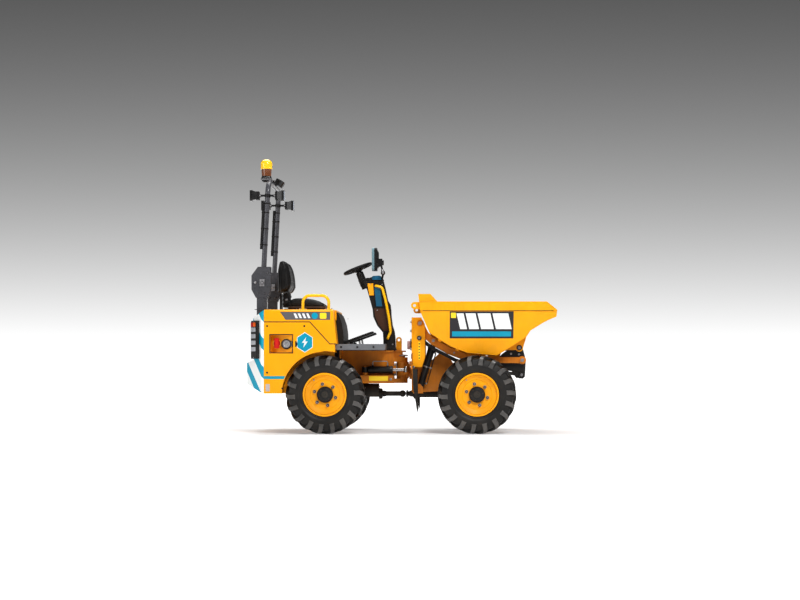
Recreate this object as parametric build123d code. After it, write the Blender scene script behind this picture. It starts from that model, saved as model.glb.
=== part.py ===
"""Articulated battery-electric site dumper with a high-lift tipping skip.

Millimetres. +X is forward, +Y is the driver's left, +Z is up. The origin is on the ground, straight
below the vertical steering pivot that joins the rear unit to the front unit.
"""
from build123d import *
import math
import os

# ---------------------------------------------------------------- driving dimensions
REACH = 1343                 # half the overall length: skip lip to pivot, pivot to counterweight
WHEELBASE = 1310
TRACK = 910
TYRE_OD = 680
TYRE_WIDTH = 190
BEAD_R = 181                 # bore of the tyre at its beads
RIM_R = 188                  # over the rim flanges
HUB_R = 69.5
TREAD_DEPTH = 24             # height of a lug over the carcass
LUGS = 18                    # on each side of the tyre, the two sides half a pitch apart
PLATE = 12                   # frame plate
GAP = 0.3                    # between faces that sit against each other on separate pieces
RUN = 0.06                   # radial clearance of a pin in its bore

AXLE_Z = TYRE_OD / 2
AXLE_X = WHEELBASE / 2
WHEEL_Y = TRACK / 2
AXLE_TUBE_R = 55
AXLE_END_Y = WHEEL_Y - 105   # where the axle ends and the turning hub begins
AXLE_FLANGE_R = 88
DIFF_R = 110

# steering pivot and its block
KINGPIN_R = 22
BLOCK_Z = 550                # height of the block, of the oscillation axis and of its trunnion
BLOCK_H = 149.4
EAR_R = 45
TRUNNION_R = 45
FRONT_PLATE_X = 87           # rear face of the front unit
STEER_PIN_X = 35
STEER_ARM = 125              # sideways distance of each steering cylinder from the pivot
STEER_BASE_X = -330
STEER_Z = 553
STEER_SEAT = 529             # top of each base boss, where a barrel's eye lies
STEER_LUG = 530              # top of the pivot block's lugs, where the rods' eyes lie
STEER_PIN_R = 14
STEER_ROD_R = 14

# rear unit
BODY_REAR = 165 - REACH      # behind it stands the counterweight
BODY_FRONT = 87 - AXLE_X
BODY_TOP = 1074
DECK_LOW = BODY_TOP - 84
BODY_LOW = 350
BODY_HALF = 525
BODY_INNER = 330
BODY_LEAN = 16               # the front edge leans back by this, above and below its mean
ARCH_R = 375
RAIL_Y = 212
RAIL_TOP = 520
NECK_HALF = 72
NECK_LOW = 434
NECK_TOP = 725
NECK_FRONT = -78
NECK_BACK = 103 - AXLE_X
FLOOR_FRONT = -138
FLOOR_BACK = 65 - AXLE_X
FLOOR_LOW = 729
FLOOR_TOP = 777
FLOOR_HALF = 440

# roll-over hoop
HOOP_Y = 380
HOOP_X = BODY_REAR - 28
HOOP_LOW = BODY_TOP + 188
HOOP_TOP = 2198
HOOP_LEAN = 3.0              # degrees, towards the front
HOOP_R = 22
FOLD_X, FOLD_Z = HOOP_X - 61, BODY_TOP + 237

# front unit: (x, z) of the lifting linkage's pins
MAST_IN, MAST_OUT = 238, 310
MAST_TOP = 1012
DECK = 618                   # top of the front frame's deck plate
WALL_IN, WALL_OUT = 150, 162 # its side plates
ARM_IN, ARM_OUT = 255, 293
P1 = (160, 961)              # lift arm on the mast
P2 = (154, 832)              # levelling link on the mast
Q1 = (1055, 638)             # lift arm on the carrier
Q2 = (Q1[0] + P2[0] - P1[0], Q1[1] + P2[1] - P1[1])
HINGE = (1030, 747)          # skip on the carrier
ARM_EYE = (278, 811)         # lift cylinder on the arm
LIFT_BASE = (156, 377)       # lift cylinder on the frame
LIFT_Y = 205
TIP_BASE = (AXLE_X - 175, 400)        # tipping cylinder on the carrier
TIP_EYE = (820, 648)         # tipping cylinder under the skip

# skip
SKIP_HALF = 520
SKIP_FLOOR_HALF = 400
SKIP_WALL = 6
SKIP_RIM_LOW = 1065
SKIP_RIM = 1140
RIM_PROUD = 10


# ---------------------------------------------------------------- helpers
def block(x0, x1, y0, y1, z0, z1):
    """Box between two corners."""
    return Pos((x0 + x1) / 2, (y0 + y1) / 2, (z0 + z1) / 2) * Box(x1 - x0, y1 - y0, z1 - z0)


def side_plate(points, y0, y1):
    """Prism whose outline lies in X-Z, from y0 to y1."""
    wire = Polyline(*[(x, y0, z) for x, z in points], close=True)
    return extrude(make_face(wire), amount=y1 - y0, dir=(0, 1, 0))


def plan_plate(points, z0, z1):
    """Prism whose outline lies in X-Y, from z0 to z1."""
    wire = Polyline(*[(x, y, z0) for x, y in points], close=True)
    return extrude(make_face(wire), amount=z1 - z0, dir=(0, 0, 1))


def front_plate(points, x0, x1):
    """Prism whose outline lies in Y-Z, from x0 to x1."""
    wire = Polyline(*[(x0, y, z) for y, z in points], close=True)
    return extrude(make_face(wire), amount=x1 - x0, dir=(1, 0, 0))


def rod(start, end, radius):
    """Round bar between two points."""
    axis = Vector(*end) - Vector(*start)
    bar = Cylinder(radius, axis.length, align=(Align.CENTER, Align.CENTER, Align.MIN))
    return Plane(origin=start, z_dir=axis) * bar


def pin(place, radius, y0, y1):
    """Round bar along Y through an (x, z) place."""
    return rod((place[0], y0, place[1]), (place[0], y1, place[1]), radius)


def both(shape):
    """A shape and its mirror image on the other side of the machine."""
    return [shape, mirror(shape, about=Plane.XZ)]


def bent_bar(points, width, end_r, y0, y1):
    """Flat bar along (x, z) points with a round boss at each end, from y0 to y1."""
    shape = None
    for (xa, za), (xb, zb) in zip(points, points[1:]):
        length = math.hypot(xb - xa, zb - za)
        nx, nz = -(zb - za) / length * width / 2, (xb - xa) / length * width / 2
        piece = side_plate([(xa + nx, za + nz), (xb + nx, zb + nz), (xb - nx, zb - nz),
                            (xa - nx, za - nz)], y0, y1)
        shape = piece if shape is None else shape + piece
    for place in points[1:-1]:
        shape += pin(place, width / 2, y0, y1)
    for place in (points[0], points[-1]):
        shape += pin(place, end_r, y0, y1)
    return shape


def along(start, end, distance):
    """Point at a distance from start towards end, both (x, z)."""
    length = math.dist(start, end)
    return tuple(a + (b - a) * distance / length for a, b in zip(start, end))


def turned(points):
    """Solid of revolution about the Y axis from (y, radius) points."""
    wire = Polyline(*[(radius, y, 0) for y, radius in points], close=True)
    return revolve(make_face(wire), axis=Axis.Y)


parts = {}


def node(name, *solids):
    """Keeps the solids of one sub-part under its name."""
    shapes = []
    for solid in solids:
        shapes.extend(solid.solids())
    parts[name] = shapes[0] if len(shapes) == 1 else Compound(children=shapes)


# ---------------------------------------------------------------- wheels
SECTOR = math.pi / LUGS       # angle of one flat-faced sector, a lug or the space beside it
BEAD_HALF = 73
TREAD_BASE = TYRE_OD / 2 - TREAD_DEPTH


def tyre_sector(side):
    """One flat-faced sector of the tyre, its lug towards side; its corners lie on the tread circle."""
    half, crown = TYRE_WIDTH / 2, TYRE_OD / 2
    outline = [(BEAD_HALF, BEAD_R - 20), (BEAD_HALF, RIM_R + 2), (half - 3, 240),
               (half, crown - 18), (half - 19, crown), (-6, crown), (-6, TREAD_BASE),
               (-half + 25, TREAD_BASE - 4), (-half + 7, TREAD_BASE - 34), (-half + 3, 240),
               (-BEAD_HALF, RIM_R + 2), (-BEAD_HALF, BEAD_R - 20)]
    flat = math.cos(SECTOR / 2)      # middle of a flat face against its corners
    bar = front_plate([(side * y, flat * radius) for y, radius in outline], -TYRE_OD, TYRE_OD)
    edge, tip = TYRE_OD * math.sin(SECTOR / 2), TYRE_OD * flat
    return bar & side_plate([(0, 0), (edge, tip), (-edge, tip)], -TYRE_WIDTH, TYRE_WIDTH)


def tyre():
    """Traction tyre on the Y axis: lugged outside, hollow inside, its beads open to the rim."""
    carcass = None
    for i in range(2 * LUGS):
        turn = math.degrees(SECTOR) * (i + 0.5)
        sector = Rot(0, turn, 0) * tyre_sector(1 if i % 2 else -1)
        carcass = sector if carcass is None else carcass + sector
    inner = TYRE_WIDTH / 2 - 20
    rings = ((-BEAD_HALF - 1, BEAD_R), (15 - BEAD_HALF, BEAD_R), (-inner, TREAD_BASE - 31),
             (inner, TREAD_BASE - 31), (BEAD_HALF - 15, BEAD_R), (BEAD_HALF + 1, BEAD_R))
    flats = [Plane(origin=(0, y, 0), z_dir=(0, 1, 0)) * RegularPolygon(radius, LUGS, major_radius=False)
             for y, radius in rings]
    return carcass - loft(flats, ruled=True)


def rim():
    """Drop-centre steel rim with its dished disc, outboard towards +Y."""
    bore = HUB_R + GAP
    return turned([(-80, RIM_R), (-74, RIM_R), (-74, BEAD_R - GAP), (74, BEAD_R - GAP), (74, RIM_R),
                   (80, RIM_R), (80, 174), (52, 168), (40, 132), (34, 124), (34, bore), (24, bore),
                   (24, 128), (40, 170), (-80, 172)])


def hub():
    """Turning hub: flange behind the disc and the domed cap that shows through it."""
    inner = AXLE_END_Y - WHEEL_Y
    return turned([(inner, 0), (inner, 80), (inner + 18, 80), (inner + 30, 66), (8, 66), (8, 118),
                   (24 - GAP, 118), (24 - GAP, HUB_R), (56, HUB_R), (66, 58), (70, 40), (70, 0)])


for end, x in (("front", AXLE_X), ("rear", -AXLE_X)):
    for hand, sign in (("left", 1), ("right", -1)):
        flip = Pos(x, sign * WHEEL_Y, AXLE_Z) * Rot(0, 0, 0 if sign > 0 else 180)
        node(f"tyre_{end}_{hand}", flip * tyre())
        node(f"wheel_{end}_{hand}", flip * rim(), flip * hub())


# ---------------------------------------------------------------- axles and drive
def axle(x, nose):
    """Axle beam with end flanges, differential housing and a pinion housing out to x = nose."""
    beam = rod((x, -AXLE_END_Y + GAP, AXLE_Z), (x, AXLE_END_Y - GAP, AXLE_Z), AXLE_TUBE_R)
    for y in (AXLE_END_Y - 26, -AXLE_END_Y + GAP):
        beam += rod((x, y, AXLE_Z), (x, y + 26 - GAP, AXLE_Z), AXLE_FLANGE_R)
    bulb = Pos(x, 0, AXLE_Z) * Sphere(DIFF_R)
    cover = rod((x, -118, AXLE_Z), (x, 118, AXLE_Z), 84)
    return beam + bulb + cover + rod((x, 0, AXLE_Z), (nose, 0, AXLE_Z), 34)


PROP_Z = AXLE_Z
MOTOR_BACK = DIFF_R + 10 - AXLE_X
NOSE_BACK, NOSE_FRONT = -336, -211
MOTOR_R = NECK_LOW - GAP - PROP_Z

node("front_axle", axle(AXLE_X, 128) + rod((114, 0, AXLE_Z), (132, 0, AXLE_Z), 50))
node("rear_axle", axle(-AXLE_X, MOTOR_BACK - GAP))
node("drive_motor", rod((MOTOR_BACK, 0, PROP_Z), (NOSE_BACK, 0, PROP_Z), MOTOR_R)
     + rod((NOSE_BACK, 0, 370), (NOSE_FRONT, 0, 370), 60)
     + rod((NOSE_FRONT, 0, PROP_Z), (NOSE_FRONT + 14, 0, PROP_Z), 48))

# The drive shaft is in two halves that meet at a ball under the steering pivot.
BALL_R = 30
node("prop_shaft_rear", rod((NOSE_FRONT + 14 + GAP, 0, PROP_Z), (NOSE_FRONT + 30, 0, PROP_Z), 46)
     + rod((NOSE_FRONT + 30, 0, PROP_Z), (0, 0, PROP_Z), 21) + Pos(0, 0, PROP_Z) * Sphere(BALL_R))
node("prop_shaft_front", rod((BALL_R + 1, 0, PROP_Z), (98, 0, PROP_Z), 21)
     + rod((98, 0, PROP_Z), (114 - GAP, 0, PROP_Z), 46))


# ---------------------------------------------------------------- rear frame
def steering_ear(z0, z1):
    """Fork ear of the rear frame round the kingpin."""
    ear = plan_plate([(NECK_FRONT - 42, -NECK_HALF), (NECK_FRONT, -NECK_HALF), (12, -EAR_R + 2),
                      (12, EAR_R - 2), (NECK_FRONT, NECK_HALF), (NECK_FRONT - 42, NECK_HALF)], z0, z1)
    return ear + rod((0, 0, z0), (0, 0, z1), EAR_R)


def rear_chassis():
    """Welded neck, fork, rails and battery tray of the rear unit."""
    low_ear = (NECK_LOW + 1, BLOCK_Z - BLOCK_H / 2 - GAP)
    high_ear = (BLOCK_Z + BLOCK_H / 2 + GAP, 665)
    frame = block(NECK_BACK, NECK_FRONT, -95, 95, NECK_LOW, NECK_LOW + PLATE)
    frame += block(NECK_BACK, NECK_FRONT, -95, 95, NECK_TOP - PLATE, NECK_TOP)
    frame += block(NECK_FRONT, -20, -50, 50, NECK_TOP - PLATE, NECK_TOP)
    frame += rod((-20, 0, NECK_TOP - PLATE), (-20, 0, NECK_TOP), 50)
    for wall in both(block(NECK_BACK, NECK_FRONT, NECK_HALF - PLATE, NECK_HALF, NECK_LOW, NECK_TOP)):
        frame += wall
    frame += steering_ear(*low_ear) + steering_ear(*high_ear)
    frame += block(NECK_FRONT - 10, 0, -35, 35, high_ear[1] - 1, NECK_TOP)
    frame += rod((0, 0, low_ear[0]), (0, 0, high_ear[1] + 12), KINGPIN_R)
    # cross wall, rails and tray behind the neck
    frame += block(NECK_BACK, NECK_BACK + PLATE, -RAIL_Y, RAIL_Y, 392, NECK_TOP)
    frame += block(BODY_REAR, NECK_BACK + 1, -RAIL_Y, RAIL_Y, RAIL_TOP - PLATE, RAIL_TOP)
    for rail in both(block(BODY_REAR, NECK_BACK + 1, RAIL_Y - PLATE, RAIL_Y, 380, RAIL_TOP)):
        frame += rail
    frame -= rod((-AXLE_X, -RAIL_Y - 1, AXLE_Z), (-AXLE_X, RAIL_Y + 1, AXLE_Z), AXLE_TUBE_R + GAP)
    # troughs that guard the steering cylinders, and the cylinders' base pins
    for trough in both(block(NECK_BACK, NECK_FRONT, NECK_HALF, 172, 492, 504)
                       + block(NECK_BACK, NECK_FRONT, 160, 172, NECK_LOW, 504)
                       + rod((STEER_BASE_X, STEER_ARM, 498), (STEER_BASE_X, STEER_ARM, STEER_SEAT), 26)
                       + rod((STEER_BASE_X, STEER_ARM, 498), (STEER_BASE_X, STEER_ARM, STEER_SEAT + 59),
                             STEER_PIN_R)):
        frame += trough
    return frame


node("rear_chassis", rear_chassis())

EYE_R = 12
eye_plate = side_plate([(-60, NECK_TOP), (-8, NECK_TOP), (-8, 812), (-60, 812)], -10, 10)
eye_plate += pin((-34, 821), 26, -10, 10)
node("lifting_eye", eye_plate - pin((-34, 821), EYE_R, -11, 11))

node("battery_pack", block(BODY_REAR + 18, BODY_FRONT - 4, -190, 190, RAIL_TOP, DECK_LOW))


def steer_cylinder_barrel():
    """Left steering cylinder barrel on its base pin."""
    tube = rod((STEER_BASE_X + 28, STEER_ARM, STEER_Z), (-84, STEER_ARM, STEER_Z), 31)
    tube += rod((-108, STEER_ARM, STEER_Z), (-84, STEER_ARM, STEER_Z), 34)
    eye = rod((STEER_BASE_X, STEER_ARM, STEER_SEAT + GAP), (STEER_BASE_X, STEER_ARM, STEER_SEAT + 48), 29)
    bore = rod((STEER_BASE_X, STEER_ARM, STEER_SEAT - 29), (STEER_BASE_X, STEER_ARM, STEER_SEAT + 71),
               STEER_PIN_R + RUN)
    rod_bore = rod((STEER_BASE_X + 50, STEER_ARM, STEER_Z), (-60, STEER_ARM, STEER_Z), STEER_ROD_R + RUN)
    return tube + eye - bore - rod_bore


def steer_cylinder_rod():
    """Left steering cylinder rod, its eye lying on the pivot block's lug."""
    bar = rod((-195, STEER_ARM, STEER_Z), (STEER_PIN_X, STEER_ARM, STEER_Z), STEER_ROD_R)
    eye = rod((STEER_PIN_X, STEER_ARM, STEER_LUG + GAP), (STEER_PIN_X, STEER_ARM, STEER_LUG + 46), 24)
    head = rod((STEER_PIN_X, STEER_ARM, STEER_LUG + 46), (STEER_PIN_X, STEER_ARM, STEER_LUG + 54), 17)
    return bar + eye + head


node("steer_barrels", *both(steer_cylinder_barrel()))
left_rod, right_rod = both(steer_cylinder_rod())
node("steer_rod_left", left_rod)
node("steer_rod_right", right_rod)


# ---------------------------------------------------------------- rear body
def body_side():
    """Left moulded side housing with its wheel arch."""
    outline = [(BODY_REAR, BODY_LOW), (BODY_REAR, BODY_TOP), (BODY_FRONT - BODY_LEAN, BODY_TOP),
               (BODY_FRONT + BODY_LEAN, FLOOR_TOP + GAP), (BODY_FRONT, FLOOR_TOP + GAP),
               (BODY_FRONT, BODY_LOW)]
    housing = side_plate(outline, BODY_INNER, BODY_HALF)
    housing = fillet(housing.edges().filter_by(Axis.X).group_by(Axis.Z)[-1].sort_by(Axis.Y)[-1], 30)
    housing -= pin((-AXLE_X, AXLE_Z), ARCH_R, BODY_INNER - 1, BODY_HALF + 1)
    housing -= block(-AXLE_X, BODY_FRONT + BODY_LEAN, BODY_INNER - 1, BODY_HALF + 1, BODY_LOW - 1, 700)
    web = block(BODY_REAR, BODY_FRONT - BODY_LEAN, BODY_INNER, BODY_INNER + PLATE, BODY_LOW, BODY_TOP - 40)
    return housing + web - pin((-AXLE_X, AXLE_Z), AXLE_FLANGE_R + 22, BODY_INNER - 1, BODY_INNER + PLATE + 1)


POCKET = (BODY_REAR + 54, BODY_REAR + 244, 703, 854)
POCKET_DEPTH, POCKET_LIP = 70, 16      # its floor slopes out from the rear to the front
SOCKET_R = 38
SOCKET_LENGTH = 56
key_x, socket_x = POCKET[0] + 54, POCKET[0] + 138
pocket_back = POCKET_DEPTH - BODY_HALF
left_side, right_side = both(body_side())
pocket = plan_plate([(POCKET[0], -BODY_HALF - 1), (POCKET[0], pocket_back),
                     (POCKET[1], POCKET_LIP - BODY_HALF), (POCKET[1], -BODY_HALF - 1)], POCKET[2], POCKET[3])
pocket += rod((socket_x, pocket_back, 776), (socket_x, -BODY_HALF - 1, 776), SOCKET_R + GAP)
body_right = right_side - pocket
node("body_side_left", left_side)
node("body_side_right", body_right)
node("body_deck", block(BODY_REAR, BODY_FRONT, -BODY_INNER, BODY_INNER, DECK_LOW, BODY_TOP))

switch_front = pocket_back - 36
node("isolator_switch", (rod((key_x, pocket_back, 783), (key_x, switch_front, 783), 30)
                         + block(key_x - 12, key_x + 12, switch_front - 30, switch_front + 2, 738, 828))
     - body_right)
socket = rod((socket_x, pocket_back, 776), (socket_x, pocket_back - SOCKET_LENGTH, 776), SOCKET_R)
socket_bore = rod((socket_x, pocket_back - SOCKET_LENGTH / 2, 776), (socket_x, -BODY_HALF, 776), 28)
node("charge_socket", socket - socket_bore)

COUNTER_REAR = -REACH
counter_profile = [(BODY_REAR, BODY_LOW), (BODY_REAR - 10, BODY_LOW), (COUNTER_REAR, 432), (COUNTER_REAR, 613),
                   (COUNTER_REAR + 63, 639), (COUNTER_REAR + 63, BODY_TOP - 74), (BODY_REAR, BODY_TOP - 5)]
counter_plan = [(BODY_REAR, BODY_HALF), (BODY_REAR - 22, BODY_HALF), (COUNTER_REAR + 53, BODY_HALF - 90),
                (COUNTER_REAR, BODY_HALF - 145)]
counter_plan += [(x, -y) for x, y in reversed(counter_plan)]
counterweight = (side_plate(counter_profile, -BODY_HALF, BODY_HALF)
                 & plan_plate(counter_plan, BODY_LOW - 10, BODY_TOP + 6))
node("counterweight", counterweight)


def tail_lamp():
    """Left lamp cluster on the chamfered corner of the counterweight."""
    slant = math.atan2(90, 90)
    centre = Plane(origin=(BODY_REAR - 67, BODY_HALF - 45, 813), x_dir=(math.cos(slant), math.sin(slant), 0),
                   z_dir=(0, 0, 1))
    return centre * Pos(0, 16, 0) * Box(76, 32 - GAP, 327)


node("tail_lamps", *[lamp - counterweight for lamp in both(tail_lamp())])


# ---------------------------------------------------------------- driving place
def seat_pad(x0, x1, half, z0, z1, radius):
    """Plain closed form of a cushion."""
    return fillet(block(x0, x1, -half, half, z0, z1).edges().filter_by(Axis.Z), radius)


SEAT_BACK = BODY_REAR + 138      # rear end of the plinth, in front of the backrest's stem
SEAT_FRONT = BODY_FRONT - 102
SEAT_LOW = BODY_TOP + 20
BACK_LOW = BODY_TOP + 162
seat_plinth = block(SEAT_BACK, SEAT_FRONT - 20, -200, 200, BODY_TOP, SEAT_LOW)
seat_plinth += block(SEAT_BACK - 56, SEAT_BACK, -60, 60, BODY_TOP, SEAT_LOW)
seat_plinth += block(SEAT_BACK - 56, SEAT_BACK - 40, -60, 60, BODY_TOP, BACK_LOW)
node("seat_base", seat_plinth)
node("seat_cushion", seat_pad(SEAT_BACK - 24, SEAT_FRONT, 235, SEAT_LOW + GAP, SEAT_LOW + 90, 60))
back_profile = [(-60, GAP), (30, GAP), (58, 54), (50, 164), (20, 269), (-5, 294), (-40, 294), (-69, 204),
                (-69, 64)]
back_plan = [(-69, -150), (-45, -205), (-10, -230), (30, -230), (48, -205), (58, -140)]
back_plan += [(x, -y) for x, y in reversed(back_plan)]
node("seat_backrest", side_plate([(SEAT_BACK + x, BACK_LOW + z) for x, z in back_profile], -230, 230)
     & plan_plate([(SEAT_BACK + x, y) for x, y in back_plan], BACK_LOW, BACK_LOW + 300))

front_profile = [(0, FLOOR_TOP), (60, FLOOR_TOP), (58, BODY_TOP - 194), (46, BODY_TOP - 114),
                 (23, BODY_TOP - 49), (0, BODY_TOP - 13)]
front_profile = [(BODY_FRONT + x, z) for x, z in front_profile]
node("seat_front_panel", side_plate(front_profile, -BODY_INNER, BODY_INNER))

RAIL_SIDE_Y = -420
RAIL_TUBE_R = 13
RAIL_BACK, RAIL_FRONT = BODY_FRONT - 285, BODY_FRONT - 61
RAIL_Z = BODY_TOP + 124
rail_path = FilletPolyline((RAIL_BACK, RAIL_SIDE_Y, BODY_TOP), (RAIL_BACK, RAIL_SIDE_Y, RAIL_Z),
                           (RAIL_FRONT, RAIL_SIDE_Y, RAIL_Z), (RAIL_FRONT, RAIL_SIDE_Y, BODY_TOP), radius=62)
rail_section = Plane(origin=(RAIL_BACK, RAIL_SIDE_Y, BODY_TOP), z_dir=(0, 0, 1)) * Circle(RAIL_TUBE_R)
node("hand_rail", sweep(rail_section, path=rail_path))

floor = block(FLOOR_BACK, FLOOR_FRONT, -FLOOR_HALF, FLOOR_HALF, FLOOR_LOW, FLOOR_TOP)
floor -= block(FLOOR_BACK + 6, FLOOR_FRONT - 6, -FLOOR_HALF + 6, FLOOR_HALF - 6, FLOOR_LOW - 1,
               FLOOR_TOP - 6)
floor += block(FLOOR_BACK, -200, -NECK_HALF, NECK_HALF, NECK_TOP, FLOOR_TOP)
floor -= block(-182, FLOOR_FRONT + 1, -110, 110, FLOOR_LOW - 20, FLOOR_TOP + 1)
floor -= block(BODY_FRONT - 30, BODY_FRONT, -FLOOR_HALF - 1, FLOOR_HALF + 1, FLOOR_LOW - 20, FLOOR_TOP + 1)
node("floor_plate", floor)


PEDAL_HEEL = BODY_FRONT + 61   # rear end of the treadle, in front of the seat panel


def pedal(y):
    """Foot treadle: a thin sloping plate on its heel block, open underneath."""
    heel = block(PEDAL_HEEL, PEDAL_HEEL + 80, y - 32, y + 32, FLOOR_TOP, FLOOR_TOP + 22)
    plate = side_plate([(0, 15), (10, 5), (262, 97), (257, 112), (246, 114), (0, 25)], y - 52, y + 52)
    return heel + Pos(PEDAL_HEEL, 0, FLOOR_TOP) * plate


node("pedals", pedal(-220), pedal(220))


# ---------------------------------------------------------------- steering tower
tower_profile = [(-171, 739), (-171, 817), (-175, 887), (-225, 947), (-260, 1025), (-266, 1093),
                 (-283, 1157), (-313, 1265), (-358, 1346), (-171, 1346), (-155, 1282), (-134, 1178),
                 (-110, 1137), (-104, 1090), (-101, 1032), (-90, 951), (-73, 897), (-66, 847),
                 (-63, 739)]
tower_front = [(-60, 739), (60, 739), (66, 950), (100, 1250), (104, 1346), (-104, 1346),
               (-100, 1250), (-66, 950)]
WHEEL_AT = (-402, 1459)      # steering wheel centre, (x, z)
WHEEL_TILT = 21.5
axis_x, axis_z = math.sin(math.radians(WHEEL_TILT)), -math.cos(math.radians(WHEEL_TILT))


def on_column(distance):
    """Point on the steering column's axis, below the wheel's centre."""
    return (WHEEL_AT[0] + axis_x * distance, 0, WHEEL_AT[1] + axis_z * distance)


tower = side_plate(tower_profile, -110, 110) & front_plate(tower_front, -400, 0)
tower += rod(on_column(96), on_column(190), 32)
tower_foot = block(-171, -63, -60, 60, NECK_TOP, 739)
node("steering_tower", tower + tower_foot)
node("steering_column", rod(on_column(28), on_column(96 - GAP), 19))

HANDLE_Y = 128
HANDLE_R = 12


def tower_handle():
    """Left grab handle, a bent tube that returns to the tower's side at both ends."""
    route = [(-236, 92, 1300), (-236, HANDLE_Y, 1300), (-180, HANDLE_Y, 1288), (-149, HANDLE_Y, 1173),
             (-118, HANDLE_Y, 1013), (-104, HANDLE_Y, 889), (-130, HANDLE_Y, 832), (-130, 55, 832)]
    radii = [16, 40, 60, 60, 40, 22]
    path = FilletPolyline(*route, radius=radii)
    section = Plane(origin=route[0], z_dir=(0, 1, 0)) * Circle(HANDLE_R)
    return sweep(section, path=path)


node("tower_handles", *[handle - tower for handle in both(tower_handle())])

# mirror on the right of the tower's head
MIRROR_Y = -150
stalk = rod((-185, -70, 1346), (-170, MIRROR_Y, 1400), 9) + Pos(-170, MIRROR_Y, 1412) * Sphere(20)
stalk += rod((-170, MIRROR_Y, 1412), (-190, MIRROR_Y, 1500), 8)
holder = block(-222, -176, MIRROR_Y - 30, MIRROR_Y + 30, 1468, 1536)
blade = fillet(block(-262, -222, MIRROR_Y - 75, MIRROR_Y + 75, 1430, 1630).edges().filter_by(Axis.X), 25)
node("mirror", (stalk + holder + blade) - tower)

# ---------------------------------------------------------------- steering wheel
wheel_plane = Plane(origin=(WHEEL_AT[0], 0, WHEEL_AT[1]), x_dir=(0, 1, 0), z_dir=(-axis_x, 0, -axis_z))
steering = Torus(124, 13) + Cylinder(34, 30)
for angle in (90, 210, 330):
    steering += Rot(0, 0, angle) * Pos(72, 0, 0) * Box(100, 30, 9)
steering += Pos(0, 0, -18) * Cylinder(24, 18)
node("steering_wheel", wheel_plane * steering)


# ---------------------------------------------------------------- roll-over hoop
def cheek(y0, y1):
    """Six-cornered hinge plate beside a post."""
    outline = [(-94, -61), (-94, 61), (-39, 137), (72, 137), (72, -61), (41, -132), (-56, -132)]
    return side_plate([(HOOP_X + x, FOLD_Z + z) for x, z in outline], y0, y1)


def hoop_post():
    """Left lower post with its hinge plates, fold pin and lock pin heads."""
    post = block(HOOP_X - 49, HOOP_X + 39, HOOP_Y - 25, HOOP_Y + 25, BODY_TOP - 94, HOOP_LOW - 8)
    post += cheek(HOOP_Y - 33, HOOP_Y - 25) + cheek(HOOP_Y + 25, HOOP_Y + 33)
    post += pin((FOLD_X, FOLD_Z), 12, HOOP_Y - 42, HOOP_Y + 42)
    for y in (HOOP_Y - 45, HOOP_Y + 33):
        post += pin((HOOP_X - 1, FOLD_Z - 2), 15, y, y + 12)
    return post - counterweight - left_side


node("rops_posts", *both(hoop_post()))

lean = math.tan(math.radians(HOOP_LEAN))
hoop_top_x = HOOP_X + (HOOP_TOP - HOOP_LOW) * lean
hoop_corners = [(HOOP_X, -HOOP_Y, HOOP_LOW), (hoop_top_x, -HOOP_Y, HOOP_TOP),
                (hoop_top_x, HOOP_Y, HOOP_TOP), (HOOP_X, HOOP_Y, HOOP_LOW)]
hoop_path = FilletPolyline(*hoop_corners, radius=110)
hoop_plane = Plane(origin=hoop_corners[0], z_dir=(hoop_top_x - HOOP_X, 0, HOOP_TOP - HOOP_LOW))
hoop_tube = sweep(hoop_plane * Circle(HOOP_R), path=hoop_path)
hoop = hoop_tube
for lug in both(side_plate([(FOLD_X, FOLD_Z - 24), (HOOP_X, FOLD_Z - 24), (HOOP_X, FOLD_Z + 40),
                            (FOLD_X, FOLD_Z + 24)], HOOP_Y - 10, HOOP_Y + 10)
                + pin((FOLD_X, FOLD_Z), 24, HOOP_Y - 10, HOOP_Y + 10)
                - pin((FOLD_X, FOLD_Z), 12 + RUN, HOOP_Y - 11, HOOP_Y + 11)):
    hoop += lug
node("rops_hoop", hoop)

LAMP_Z = HOOP_TOP - 131
LAMP_SIZE = 96
LAMP_DEPTH = 78
LAMP_ROWS = (-28, -14, 0, 14, 28)    # cooling ribs on a lamp's back


def square_lamp(face_x, way, y):
    """Square lamp that shines along X: bezel, tapering body and upright cooling ribs."""
    bezel = Pos(0, 0, -9) * Box(LAMP_SIZE, LAMP_SIZE, 18)
    lamp = fillet(bezel.edges().filter_by(Axis.Z), 12)
    lamp += loft([Pos(0, 0, -17) * Rectangle(86, 86), Pos(0, 0, -LAMP_DEPTH + 14) * Rectangle(58, 60)])
    for row in LAMP_ROWS:
        lamp += Pos(row, 0, -LAMP_DEPTH / 2 - 8) * Box(4, 70, LAMP_DEPTH - 16)
    return Plane(origin=(face_x, y, LAMP_Z), x_dir=(0, 1, 0), z_dir=(way, 0, 0)) * lamp


hoop_clear = sweep(hoop_plane * Circle(HOOP_R + GAP), path=hoop_path)
lamps = []
for y in (-HOOP_Y, HOOP_Y):
    for way, back_x in ((-1, hoop_top_x - LAMP_DEPTH), (1, hoop_top_x + 61)):
        arm = block(min(back_x + way * 4, hoop_top_x), max(back_x + way * 4, hoop_top_x), y - 14, y + 14,
                    LAMP_Z - 9, LAMP_Z + 9)
        lamps.append((square_lamp(back_x + way * LAMP_DEPTH, way, y) + arm) - hoop_clear)
round_x, round_z = hoop_top_x + 52, HOOP_TOP + 30
lamps.append((rod((round_x + 13, 0, round_z + 22), (round_x - 13, 0, round_z - 22), 42)
              + block(hoop_top_x - 8, hoop_top_x + 29, -14, 14, HOOP_TOP - 2, HOOP_TOP + 52)) - hoop_clear)
node("work_lamps", *lamps)

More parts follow.
